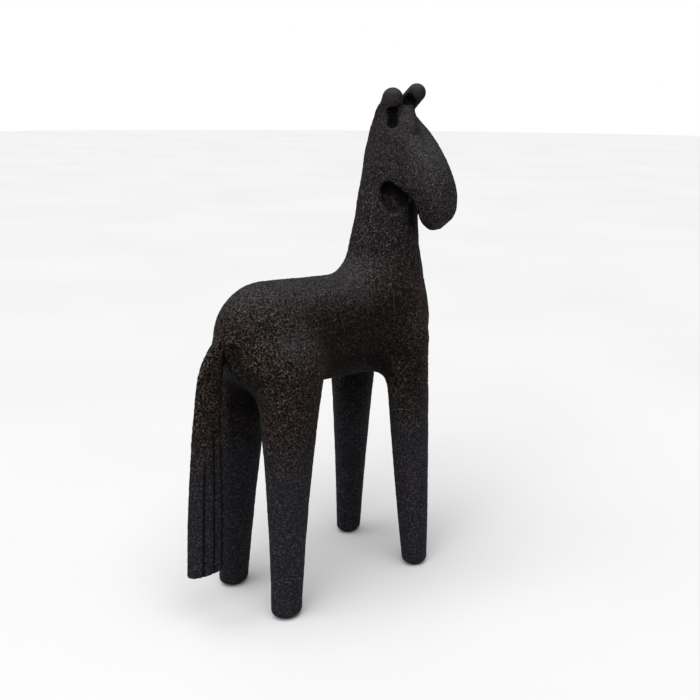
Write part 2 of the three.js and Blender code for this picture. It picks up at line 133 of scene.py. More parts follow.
class Stations:
    """A smooth curve through sizes given at stations, which never swings past the sizes themselves."""

    def __init__(self, places: tuple[float, ...], sizes: tuple[float, ...]) -> None:
        """Works out the slopes: each is the weighted harmonic mean of its two neighbouring steps.

        Args:
            places: Where the sizes are given, in rising order.
            sizes: The size at each place.
        """
        self.places = np.asarray(places, float)
        self.sizes = np.asarray(sizes, float)
        widths = np.diff(self.places)
        steps = np.diff(self.sizes) / widths
        before, after = steps[:-1], steps[1:]
        heavy_after = 2 * widths[1:] + widths[:-1]
        heavy_before = widths[1:] + 2 * widths[:-1]
        turning = before * after <= 0
        safe_before = np.where(turning, 1.0, before)
        safe_after = np.where(turning, 1.0, after)
        mean = (heavy_after + heavy_before) / (heavy_after / safe_before + heavy_before / safe_after)
        inner = np.where(turning, 0.0, mean)
        self.slopes = np.concatenate([steps[:1], inner, steps[-1:]])

    def at(self, place: np.ndarray) -> np.ndarray:
        """The size at each place: the cubic that meets both neighbouring sizes and slopes.

        Args:
            place: Places along the curve; those past its ends take the end sizes.

        Returns:
            The sizes.
        """
        place = np.clip(place, self.places[0], self.places[-1])
        i = np.clip(np.searchsorted(self.places, place, side="right") - 1, 0, len(self.places) - 2)
        width = self.places[i + 1] - self.places[i]
        t = (place - self.places[i]) / width
        rest = 1.0 - t
        start = (1.0 + 2.0 * t) * rest * rest * self.sizes[i] + t * rest * rest * width * self.slopes[i]
        end = t * t * (3.0 - 2.0 * t) * self.sizes[i + 1] - t * t * rest * width * self.slopes[i + 1]
        return start + end


def step_between(values: np.ndarray, low: float, high: float) -> np.ndarray:
    """A soft step from 0 at low to 1 at high: the cubic 3t^2 - 2t^3. Low may be above high.

    Args:
        values: What is compared.
        low: Where the step is 0.
        high: Where the step is 1.

    Returns:
        The step's height for each value.
    """
    t = np.clip((values - low) / (high - low), 0.0, 1.0)
    return t * t * (3.0 - 2.0 * t)


@dataclass(frozen=True)
class Leg:
    """A straight tapered leg, oval in section, with a rounded foot and a domed top inside the barrel."""

    foot: tuple[float, float]
    hip: tuple[float, float]
    foot_radius: float
    knee_radius: float
    hip_radius: float
    depth_ratio: float
    side: int
    hip_height: float = 184.0
    taper_height: float = 180.0
    foot_round: float = 4.0
    sole: float = 1.5

    def distance(self, points: np.ndarray) -> np.ndarray:
        """The gap to a leaning axis, less a radius that is quadratic in the height, cut at the sole.

        Args:
            points: Points, with x, y and z last.

        Returns:
            The distance of each point.
        """
        height = points[..., 2]
        share = np.clip(height, 0.0, self.hip_height) / self.taper_height
        across = self.side * points[..., 0] - self.foot[0] - (self.hip[0] - self.foot[0]) * share
        along = points[..., 1] - self.foot[1] - (self.hip[1] - self.foot[1]) * share
        above = np.maximum(height - self.hip_height, 0.0)
        radius = (
            2.0 * self.foot_radius * (share - 0.5) * (share - 1.0)
            - 4.0 * self.knee_radius * share * (share - 1.0)
            + 2.0 * self.hip_radius * share * (share - 0.5)
        )
        side = np.sqrt(across**2 + (along / self.depth_ratio) ** 2 + above**2) - radius
        end = self.sole - height
        inner_side, inner_end = side + self.foot_round, end + self.foot_round
        outside = np.hypot(np.maximum(inner_side, 0.0), np.maximum(inner_end, 0.0))
        return outside + np.minimum(np.maximum(inner_side, inner_end), 0.0) - self.foot_round


@dataclass(frozen=True)
class Barrel:
    """The trunk: a long capsule from the shoulder to the rump, pressed flatter from side to side."""

    shoulder: tuple[float, float] = (-49.7, 195.8)
    rump: tuple[float, float] = (62.05, 201.5)
    shoulder_radius: float = 38.56
    rump_radius: float = 38.8
    width_ratio: float = 0.84

    def distance(self, points: np.ndarray) -> np.ndarray:
        """A capsule in a space stretched sideways, scaled back a little to stay a true distance.

        Args:
            points: Points, with x, y and z last.

        Returns:
            The distance of each point.
        """
        stretched = points / np.array([self.width_ratio, 1.0, 1.0])
        shape = capsule(
            stretched, (0.0, *self.rump), (0.0, *self.shoulder), self.rump_radius, self.shoulder_radius
        )
        return 0.5 * (1.0 + self.width_ratio) * shape


@dataclass(frozen=True)
class Neck:
    """The neck: level ovals whose long axis turns with the head as they rise. Turns are in degrees."""

    heights: tuple[float, ...] = (200.0, 232.0, 256.0, 280.0, 300.0, 320.0, 340.0, 358.0)
    centre_x: tuple[float, ...] = (0.0, 0.0, 0.3, 0.5, 0.3, 0.6, 0.3, -0.2)
    centre_y: tuple[float, ...] = (-50.4, -53.0, -53.7, -56.4, -59.6, -61.0, -63.6, -66.4)
    long_half: tuple[float, ...] = (34.0, 33.8, 27.6, 23.8, 25.5, 25.2, 21.8, 11.6)
    short_half: tuple[float, ...] = (27.1, 26.1, 21.5, 18.3, 15.5, 15.0, 13.7, 8.8)
    turn: tuple[float, ...] = (0.0, 0.0, 20.0, 52.0, 75.0, 86.0, 90.0, 90.0)

    def distance(self, points: np.ndarray) -> np.ndarray:
        """How far past an oval, at each height, a point is; above and below it ends in a rounded cap.

        Args:
            points: Points, with x, y and z last.

        Returns:
            The distance of each point.
        """
        height = points[..., 2]
        rows = (self.turn, self.centre_x, self.centre_y, self.long_half, self.short_half)
        degrees, centre_x, centre_y, long_half, short_half = (
            Stations(self.heights, row).at(height) for row in rows
        )
        turn = np.radians(degrees)
        x, y = points[..., 0] - centre_x, points[..., 1] - centre_y
        along = x * np.sin(turn) + y * np.cos(turn)
        across = x * np.cos(turn) - y * np.sin(turn)
        reach = np.hypot(along / long_half, across / short_half) - 1.0
        side = reach * np.minimum(long_half, short_half)
        past = np.maximum(self.heights[0] - height, height - self.heights[-1])
        return np.where(past > 0, np.hypot(np.maximum(side, 0.0), past), np.maximum(side, past))


@dataclass(frozen=True)
class Hollow:
    """A round-ended hollow, cut with an edge of the given softness, in which shade is painted dark."""

    start: tuple[float, float, float]
    end: tuple[float, float, float]
    start_radius: float
    end_radius: float
    softness: float
    # How strongly shade is painted in the hollow, from 0 to 1.
    painted_shade: float = 1.0

    def distance(self, points: np.ndarray) -> np.ndarray:
        """The distance of each point to the capsule that is cut away."""
        return capsule(points, self.start, self.end, self.start_radius, self.end_radius)


@dataclass(frozen=True)
class Ear:
    """One ear: a round-ended form with its front scooped out. Places are in the head's frame."""

    root: tuple[float, float, float]
    tip: tuple[float, float, float]
    root_radius: float
    tip_radius: float
    scoop_top: tuple[float, float, float]
    scoop_foot: tuple[float, float, float]
    scoop_top_radius: float
    scoop_foot_radius: float

    def distance(self, points: np.ndarray) -> np.ndarray:
        """The distance of each point to the ear before it is scooped out."""
        return capsule(points, self.root, self.tip, self.root_radius, self.tip_radius)

    def scoop(self, softness: float) -> Hollow:
        """The hollow in the ear's front.

        Args:
            softness: How soft its edge is, in mm.

        Returns:
            The hollow.
        """
        return Hollow(
            self.scoop_top, self.scoop_foot, self.scoop_top_radius, self.scoop_foot_radius, softness
        )


@dataclass(frozen=True)
class Head:
    """The head in its own frame (ahead, out to its right, up): squared ovals from muzzle to poll."""

    pivot: tuple[float, float] = (0.0, -70.0)
    tilt_height: float = 310.0
    tilt_degrees: float = 2.83
    squareness: float = 3.4
    ear_blend: float = 5.0
    near_ear: Ear = Ear(
        root=(-6.7, 7.5, 351.0),
        tip=(5.1, 12.9, 363.9),
        root_radius=7.0,
        tip_radius=7.7,
        scoop_top=(5.2, 12.8, 357.4),
        scoop_foot=(7.4, 16.2, 347.0),
        scoop_top_radius=2.5,
        scoop_foot_radius=3.9,
    )
    far_ear: Ear = Ear(
        root=(-7.8, -7.8, 351.8),
        tip=(4.6, -13.3, 366.4),
        root_radius=7.4,
        tip_radius=7.0,
        scoop_top=(4.2, -4.8, 361.2),
        scoop_foot=(2.2, 1.6, 353.8),
        scoop_top_radius=2.9,
        scoop_foot_radius=3.8,
    )
    throat_pockets: tuple[Hollow, ...] = (
        Hollow((9.8, 23.6, 298.2), (19.0, 19.2, 291.0), 6.1, 5.6, 0.7),
        Hollow((12.0, 25.2, 292.5), (15.2, 24.6, 286.0), 6.4, 4.8, 4.0, 0.8),
    )

    heights: tuple[float, ...] = (
        268.0, 271.5, 276.9, 283.8, 290.7, 296.6, 301.1, 305.5, 314.4, 327.3, 337.2, 346.2, 352.1, 358.0
    )
    front: tuple[float, ...] = (
        37.6, 41.3, 46.7, 49.3, 48.9, 47.8, 46.9, 45.2, 40.6, 30.7, 20.5, 9.1, 3.1, -5.4
    )
    back: tuple[float, ...] = (
        32.2, 29.6, 26.6, 24.6, 21.8, 15.9, 5.9, -5.0, -15.9, -20.1, -19.7, -16.9, -14.0, -12.3
    )
    half_width: tuple[float, ...] = (
        5.0, 8.8, 11.7, 13.5, 15.0, 16.0, 16.8, 17.4, 18.2, 18.8, 19.1, 18.1, 15.9, 9.8
    )
    scoop_softness: float = 3.0
    # Painted shade: the distances to a hollow's tool over which the shade painted in the scoops and pockets
    # fades in.
    stain: tuple[float, float] = (1.8, -0.3)
    ear_join: float = 1.5

    def place(self, points: np.ndarray) -> np.ndarray:
        """Points in the head's frame: the head looks along -X and is tilted a little about its own axis.

        Args:
            points: Points in the horse's frame.

        Returns:
            The same points as distances ahead, to the head's right, and above the ground.
        """
        ahead = self.pivot[0] - points[..., 0]
        out = points[..., 1] - self.pivot[1]
        up = points[..., 2] - self.tilt_height
        tilt = math.radians(self.tilt_degrees)
        turned_out = out * math.cos(tilt) - up * math.sin(tilt)
        turned_up = out * math.sin(tilt) + up * math.cos(tilt) + self.tilt_height
        return np.stack([ahead, turned_out, turned_up], axis=-1)

    def skull(self, placed: np.ndarray) -> np.ndarray:
        """How far past a squared oval, at each height, a point is; muzzle and poll end in rounded caps.

        Args:
            placed: Points in the head's frame.

        Returns:
            The distance of each point.
        """
        height = placed[..., 2]
        front, back, width = (
            Stations(self.heights, row).at(height) for row in (self.front, self.back, self.half_width)
        )
        half = 0.5 * (front - back)
        across = np.abs(placed[..., 1] / width) ** self.squareness
        along = np.abs((placed[..., 0] - 0.5 * (front + back)) / half) ** self.squareness
        side = ((across + along) ** (1.0 / self.squareness) - 1.0) * np.minimum(width, half)
        past = np.maximum(self.heights[0] - height, height - self.heights[-1])
        return np.where(past > 0, np.hypot(np.maximum(side, 0.0), past), np.maximum(side, past))

    def distance(self, placed: np.ndarray) -> np.ndarray:
        """The skull and both ears joined with a fillet.

        Args:
            placed: Points in the head's frame.

        Returns:
            The distance of each point.
        """
        ears = smooth_min(self.near_ear.distance(placed), self.far_ear.distance(placed), self.ear_join)
        return smooth_min(self.skull(placed), ears, self.ear_blend)

    def hollows(self, placed: np.ndarray, shape: np.ndarray) -> tuple[np.ndarray, np.ndarray]:
        """Cuts the ears' scoops and the pockets under the jaw from a form, and paints shade in them.

        Args:
            placed: Points in the head's frame.
            shape: The distances to the form that is cut.

        Returns:
            The distances to what is left, and how much shade is painted in a hollow at each point, from 0
            to 1.
        """
        cuts = [(placed, ear.scoop(self.scoop_softness)) for ear in (self.near_ear, self.far_ear)]
        mirrored = placed * np.array([1.0, -1.0, 1.0])
        for hollow in self.throat_pockets:
            cuts += [(placed, hollow), (mirrored, hollow)]
        # Painted shade, black in the ear scoops and the pockets under the jaw.
        dark = np.zeros(shape.shape)
        for where, hollow in cuts:
            tool = hollow.distance(where)
            shape = smooth_max(shape, -tool, hollow.softness)
            dark = np.maximum(dark, hollow.painted_shade * step_between(tool, *self.stain))
        return shape, dark


@dataclass(frozen=True)
class Groove:
    """One groove down both sides of the tail, `across` running from -1 at its front to 1 at its rear."""

    across: float
    top: float
    depth: float = 1.0
    half_width: float = 0.055


@dataclass(frozen=True)
class Tail:
    """The tail: a blade that leaves the rump, bends down and hangs, with grooves down its sides.

    Each row of its path is a place along Y, a height and the blade's half depth.
    """

    path: tuple[tuple[float, float, float], ...] = (
        (119.6, 28.0, 16.0),
        (118.0, 60.0, 16.0),
        (115.1, 120.0, 14.2),
        (111.0, 180.2, 9.8),
        (107.0, 192.3, 9.2),
        (102.4, 199.8, 8.7),
        (98.2, 205.3, 8.4),
        (89.0, 221.0, 5.5),
    )
    steepness: float = 0.55
    furrow_fade: float = 14.0
    top_margin: float = 2.0
    thickness_ratio: float = 0.42
    end_height: float = 37.6
    end_round: float = 3.0
    top_round: float = 8.0
    grooves: tuple[Groove, ...] = (
        Groove(0.42, 128.0),
        Groove(-0.1, 156.0),
        Groove(-0.56, 160.0),
        Groove(-0.86, 168.0, 1.1, 0.09),
    )

    def section(self, height: np.ndarray) -> tuple[np.ndarray, np.ndarray]:
        """The tail's centre line and half depth at each height.

        Args:
            height: Heights above the ground.

        Returns:
            The place along Y and the half depth.
        """
        heights = tuple(row[1] for row in self.path)
        centre = Stations(heights, tuple(row[0] for row in self.path)).at(height)
        half = Stations(heights, tuple(row[2] for row in self.path)).at(height)
        return centre, half

    def furrows(self, points: np.ndarray) -> np.ndarray:
        """How deep the grooves are: a bell curve across each, fading out at its top.

        Args:
            points: Points, with x, y and z last.

        Returns:
            The depth at each point, in mm.
        """
        height = points[..., 2]
        centre, half = self.section(height)
        share = (points[..., 1] - centre) / half
        depth = np.zeros(share.shape)
        for groove in self.grooves:
            valley = np.exp(-(((share - groove.across) / groove.half_width) ** 2))
            fade = step_between(height, groove.top, groove.top - self.furrow_fade)
            depth += groove.depth * valley * fade
        return depth

    def distance(self, points: np.ndarray) -> np.ndarray:
        """How far past an upright oval a point is, cut level at the tail's end, less the grooves.

        Args:
            points: Points, with x, y and z last.

        Returns:
            The distance of each point.
        """
        height = points[..., 2]
        centre, half = self.section(height)
        along = points[..., 1] - centre
        side = self.steepness * (np.hypot(points[..., 0] / self.thickness_ratio, along) - half)
        side = side + self.furrows(points)
        top = self.path[-1][1] + self.top_margin
        side = smooth_max(side, height - top, self.top_round)
        return smooth_max(side, self.end_height - height, self.end_round)


class CastingName(Enum):
    """The eight castings, each named as its CAD node."""

    TORSO = "torso"
    NECK = "neck"
    HEAD = "head"
    TAIL = "tail"
    LEG_FORE_RIGHT = "leg_fore_right"
    LEG_FORE_LEFT = "leg_fore_left"
    LEG_HIND_RIGHT = "leg_hind_right"
    LEG_HIND_LEFT = "leg_hind_left"


@dataclass(frozen=True)
class Horse:
    """The whole horse as one filleted form, and where its castings part."""

    hind_right: Leg = Leg((32.55, 73.35), (27.3, 63.3), 9.87, 13.7, 21.3, 1.18, -1)
    hind_left: Leg = Leg((32.55, 73.35), (27.2, 63.2), 9.7, 13.6, 19.6, 1.18, 1)
    fore_right: Leg = Leg((39.41, -54.4), (29.57, -49.7), 9.2, 13.13, 15.38, 1.12, -1)
    fore_left: Leg = Leg((39.41, -54.4), (29.3, -49.7), 9.3, 13.2, 18.8, 1.12, 1)
    barrel: Barrel = Barrel()
    neck: Neck = Neck()
    head: Head = Head()
    tail: Tail = Tail()
    dock_hollow: Hollow = Hollow((11.5, 103.8, 198.5), (12.5, 100.5, 176.0), 7.6, 9.0, 1.2)
    trunk_fillet: float = 18.0
    head_fillet: float = 4.0
    tail_fillet: float = 1.2
    leg_joint: float = 153.0
    neck_joint: float = 250.0
    head_joint: float = 304.0
    head_joint_slope: float = 0.45
    head_joint_ahead: float = -12.0
    jaw_ahead: float = 19.0
    dock_front: float = 80.0
    low: tuple[float, float, float] = (-55.5, -98.0, -3.0)
    high: tuple[float, float, float] = (55.5, 141.0, 379.5)

    def trunk(self, points: np.ndarray) -> np.ndarray:
        """Legs, barrel and neck joined with wide fillets.

        Args:
            points: Points, with x, y and z last.

        Returns:
            The distance of each point.
        """
        shape = smooth_min(self.hind_left.distance(points), self.barrel.distance(points), self.trunk_fillet)
        for leg in (self.hind_right, self.fore_left, self.fore_right):
            shape = smooth_min(shape, leg.distance(points), self.trunk_fillet)
        shape = smooth_min(shape, self.neck.distance(points), self.trunk_fillet)
        return smooth_max(shape, -self.dock(points), self.dock_hollow.softness)

    def dock(self, points: np.ndarray) -> np.ndarray:
        """The hollow on either side of the tail's root.

        Args:
            points: Points, with x, y and z last.

        Returns:
            The distance of each point to the nearer hollow.
        """
        folded = np.concatenate([np.abs(points[..., :1]), points[..., 1:]], axis=-1)
        return self.dock_hollow.distance(folded)

    def forms(self, points: np.ndarray) -> tuple[np.ndarray, np.ndarray, np.ndarray]:
        """The whole form, its tail alone, and how much shade is painted in the head's hollows at each
        point.

        Args:
            points: Points, with x, y and z last.

        Returns:
            Distances to the whole, distances to the tail, and painted shade from 0 to 1.
        """
        placed = self.head.place(points)
        shape = smooth_min(self.trunk(points), self.head.distance(placed), self.head_fillet)
        shape, hollow = self.head.hollows(placed, shape)
        tail = self.tail.distance(points)
        return smooth_min(shape, tail, self.tail_fillet), tail, hollow

    def distance(self, points: np.ndarray) -> np.ndarray:
        """The distance of each point to the whole horse."""
        return self.forms(points)[0]

    def slope(self, points: np.ndarray, reach: float = 0.12) -> tuple[np.ndarray, np.ndarray]:
        """The distance and its slope, from the form at the four corners of a small tetrahedron.

        Args:
            points: Points, with x, y and z last.
            reach: The tetrahedron's half edge, in mm.

        Returns:
            The distances, and the slope of the distance at each point.
        """
        total, slope = 0.0, 0.0
        for corner in ((1, -1, -1), (-1, -1, 1), (-1, 1, -1), (1, 1, 1)):
            way = np.array(corner, float)
            value = self.distance(points + reach * way)
            total = total + value
            slope = slope + value[..., None] * way
        return total / 4.0, slope / (4.0 * reach)

    def casting_of(self, points: np.ndarray) -> np.ndarray:
        """The number, in CastingName's order, of the casting that each surface point belongs to.

        Args:
            points: Points on the surface.

        Returns:
            A whole number for each point.
        """
        names = list(CastingName)
        x, y, z = points[..., 0], points[..., 1], points[..., 2]
        whole = np.full(x.shape, names.index(CastingName.TORSO))
        placed = self.head.place(points)
        ahead = placed[..., 0]
        is_jaw = (self.head.distance(placed) < self.neck.distance(points)) & (ahead > self.jaw_ahead)
        whole[z > self.neck_joint] = names.index(CastingName.NECK)
        drop = self.head_joint_slope * (ahead - self.head_joint_ahead)
        is_head = (z > self.head_joint - drop) | is_jaw
        whole[(z > self.neck_joint) & is_head] = names.index(CastingName.HEAD)
        is_leg = z < self.leg_joint
        is_fore, is_right = y < 0, x < 0
        whole[is_leg & is_fore & is_right] = names.index(CastingName.LEG_FORE_RIGHT)
        whole[is_leg & is_fore & ~is_right] = names.index(CastingName.LEG_FORE_LEFT)
        whole[is_leg & ~is_fore & is_right] = names.index(CastingName.LEG_HIND_RIGHT)
        whole[is_leg & ~is_fore & ~is_right] = names.index(CastingName.LEG_HIND_LEFT)
        is_tail = (self.tail.distance(points) < self.trunk(points)) & (y > self.dock_front)
        whole[is_tail] = names.index(CastingName.TAIL)
        return whole


# ---- Noise: the grain of the cast skin ---------------------------------------------------------------


@dataclass(frozen=True)
class Grain:
    """Smooth random relief: values at the corners of a cubic lattice, mixed inside each cube."""

    wavelength: float
    seed: int
    lattice: int = 32

    def at(self, points: np.ndarray) -> np.ndarray:
        """The mix of the eight corner values by the fifth-degree fade of a point's place in its cube.

        Args:
            points: Points, with x, y and z last.

        Returns:
            A value from -1 to 1 for each point.
        """
        table = np.random.default_rng(self.seed).uniform(-1.0, 1.0, (self.lattice,) * 3)
        turn = np.array(Euler((0.5, 0.9, 0.3)).to_matrix())
        scaled = points @ turn.T / self.wavelength
        cell = np.floor(scaled).astype(int)
        t = scaled - cell
        fade = t * t * t * (t * (6.0 * t - 15.0) + 10.0)
        total = np.zeros(points.shape[:-1])
        for corner in np.ndindex(2, 2, 2):
            weight = np.prod(np.where(np.array(corner) == 1, fade, 1.0 - fade), axis=-1)
            i = (cell + np.array(corner)) % self.lattice
            total += weight * table[i[..., 0], i[..., 1], i[..., 2]]
        return total


Band = tuple[float, float]


@dataclass(frozen=True)
class Relief:
    """The cast skin's relief in the mesh: ridged grain, finer grain and long waves. Heights are in mm."""

    ridged: Grain = Grain(2.3, 11)
    ridge_sharpness: float = 2.6
    ridge_height: float = 0.2
    finer: Grain = Grain(1.7, 12)
    finer_height: float = 0.16
    long_waves: Grain = Grain(13.0, 13)
    long_height: float = 0.22
    short_waves: Grain = Grain(6.5, 14)
    short_height: float = 0.09
    lower_leg_calm: float = 0.5
    sole: Band = (2.2, 5.0)

    def height(self, points: np.ndarray, rough: np.ndarray, lower_leg: np.ndarray) -> np.ndarray:
        """Ridges (1 less the noise's size) and finer grain by roughness, plus the waves; none on soles.

        Args:
            points: Points on the form.
            rough: How rough the skin is at each, from 0 to 1.
            lower_leg: How far down a leg each is, from 0 to 1.

        Returns:
            How far each point is raised, in mm.
        """
        ridges = 1.0 - np.abs(self.ridged.at(points)) * self.ridge_sharpness
        grain = self.ridge_height * ridges + self.finer_height * self.finer.at(points)
        waves = self.long_waves.at(points) * self.long_height
        waves = waves + self.short_waves.at(points) * self.short_height
        height = grain * rough + waves * (1.0 - self.lower_leg_calm * lower_leg)
        return step_between(points[:, 2], *self.sole) * height


@dataclass(frozen=True)
class Wear:
    """Where the patina changes, and where light and shade are painted on it. A band holds where a change is
    nil and where it is whole.

    Bands named facing are parts of the unit normal, from -1 to 1; the others are in mm.
    """

    drift: Grain = Grain(34.0, 5)
    facing_up: Band = (0.25, 0.85)
    facing_down: Band = (0.05, -0.45)
    facing_aside: Band = (0.5, 0.9)
    facing_inwards: Band = (-0.1, -0.7)
    facing_rear: Band = (-0.2, 0.5)
    flank_foot: Band = (105.0, 165.0)
    flank_top: Band = (268.0, 215.0)
    rear: Band = (-30.0, 45.0)
    fore_warmth: float = 0.45
    rear_warmth: float = 0.55
    neck_foot: Band = (250.0, 280.0)
    neck_warmth: float = 0.35
    drift_warmth: float = 0.25
    # Painted light: the face, the nape and what faces up are lightened towards grey where the light falls
    # on them.
    face_ahead: Band = (16.0, 34.0)
    face_foot: Band = (268.0, 285.0)
    face_painted_light: float = 0.35
    face_cold: float = 0.5
    nape_foot: Band = (285.0, 320.0)
    nape_painted_light: float = 0.3
    topside_painted_light: float = 0.8
    lower_leg: Band = (160.0, 90.0)
    plain_cool: float = 0.35
    drift_cool: float = 0.15
    # Painted shade: where the girth between the legs, the undersides and the legs' inner faces are
    # darkened.
    girth_foot: Band = (120.0, 155.0)
    girth_top: Band = (240.0, 205.0)
    girth_fore: Band = (-62.0, -35.0)
    girth_rear: Band = (62.0, 30.0)
    girth_shade: float = 0.73
    underside_foot: Band = (98.0, 125.0)
    underside_top: Band = (262.0, 235.0)
    inner_top: Band = (250.0, 215.0)
    inner_foot: Band = (105.0, 150.0)
    inner_low_shade: float = 0.3
    inner_high_shade: float = 0.6
    # A rubbed edge along the dock's lip, painted as a brown highlight.
    lip_outside: Band = (3.0, 1.0)
    lip_inside: Band = (0.1, 0.9)
    lip_foot: Band = (202.0, 206.0)
    tail_clear: float = 2.0
    # Painted shade: the shelter over which crevices go from unshaded to black.
    crevice: Band = (0.28, 0.66)
    ear_tip: Band = (359.0, 366.0)
    ear_foot: Band = (340.0, 350.0)
    ear_polish: float = 0.75
    plain_rough: float = 0.6
    flank_rough: float = 0.4
    topside_calm: float = 0.45
    lower_leg_calm: float = 0.12
    throat_foot: Band = (235.0, 262.0)
    throat_top: Band = (330.0, 295.0)
    throat_rough: float = 0.2

    def soot(self, points: np.ndarray, normals: np.ndarray) -> np.ndarray:
        """Painted shade: black on the girth between the legs, on what faces down, and on the legs' inner
        faces, where shade falls.

        Args:
            points: Points on the form.
            normals: Their unit normals.

        Returns:
            How much shade is painted on each point, from 0 to 1.
        """
        y, z = points[:, 1], points[:, 2]
        girth = step_between(np.abs(normals[:, 0]), *self.facing_aside) * step_between(z, *self.girth_foot)
        girth *= step_between(z, *self.girth_top) * step_between(y, *self.girth_fore)
        girth *= step_between(y, *self.girth_rear)
        underside = step_between(normals[:, 2], *self.facing_down) * step_between(z, *self.underside_foot)
        underside *= step_between(z, *self.underside_top)
        outwards = normals[:, 0] * np.sign(points[:, 0])
        inner = step_between(outwards, *self.facing_inwards) * step_between(z, *self.inner_top)
        inner *= self.inner_low_shade + self.inner_high_shade * step_between(z, *self.inner_foot)
        return np.maximum(self.girth_shade * girth, np.maximum(underside, inner))

    def recess(self, horse: Horse, points: np.ndarray, shelter: np.ndarray) -> np.ndarray:
        """Painted shade: black in the head's hollows, in the tail's grooves and wherever the form shelters
        a point, where shade falls.

        Args:
            horse: The form.
            points: Points on it.
            shelter: How sheltered each is, from 0 to 1.

        Returns:
            How much shade is painted at each point, from 0 to 1.
        """
        hollow = horse.forms(points)[2]
        on_tail = horse.tail.distance(points) < horse.trunk(points) - self.tail_clear
        furrow = np.clip(horse.tail.furrows(points), 0.0, 1.0) * on_tail
        return np.maximum(hollow + furrow, step_between(shelter, *self.crevice))

    def shares(
        self, horse: Horse, points: np.ndarray, normals: np.ndarray, shelter: np.ndarray
    ) -> dict[str, np.ndarray]:
        """How much of each colour, painted light, painted shade and roughness the skin has: sums and
        products of soft steps.

        Args:
            horse: The form.
            points: Points on it.
            normals: Their unit normals.
            shelter: How sheltered each is, from 0 to 1.

        Returns:
            The shares by name, each from 0 to 1.
        """
        z, placed = points[:, 2], horse.head.place(points)
        drift, dock = self.drift.at(points), horse.dock(points)
        topside = step_between(normals[:, 2], *self.facing_up)
        flank = step_between(z, *self.flank_foot) * step_between(z, *self.flank_top)
        rear = step_between(points[:, 1], *self.rear)
        face = step_between(placed[:, 0], *self.face_ahead) * step_between(z, *self.face_foot)
        nape = step_between(z, *self.nape_foot) * step_between(normals[:, 1], *self.facing_rear)
        lower_leg = step_between(z, *self.lower_leg)
        warm = flank * (1.0 - topside) * (self.fore_warmth + self.rear_warmth * rear)
        neck = step_between(z, *self.neck_foot) * (1.0 - topside) * (1.0 - self.face_cold * face)
        warm += self.drift_warmth * drift + self.neck_warmth * neck
        cool = np.maximum(lower_leg, self.plain_cool * (1.0 - flank)) + self.drift_cool * drift
        # Painted light: lighter grey on what faces up, on the face and on the nape, where light from above
        # and behind falls.
        grey = self.topside_painted_light * topside + self.face_painted_light * face + self.nape_painted_light * nape
        # A rubbed edge along the dock's lip, painted as a brown highlight.
        lip = step_between(dock, *self.lip_outside) * step_between(dock, *self.lip_inside)
        rough = self.plain_rough + self.flank_rough * flank * (1.0 - self.topside_calm * topside)
        rough -= self.lower_leg_calm * lower_leg
        rough += self.throat_rough * step_between(z, *self.throat_foot) * step_between(z, *self.throat_top)
        ear_tip = step_between(placed[:, 2], *self.ear_tip) * step_between(z, *self.ear_foot)
        shares = {
            "warm": warm,
            "cool": cool,
            "grey": grey,
            "recess": self.recess(horse, points, shelter),
            "rubbed": lip * step_between(z, *self.lip_foot),
            "soot": self.soot(points, normals),
            "rough": rough * (1.0 - self.ear_polish * ear_tip),
        }
        return {name: np.clip(share, 0.0, 1.0) for name, share in shares.items()}


# ---- Skin: one sheet of quads over the whole form -------------------------------------------------------


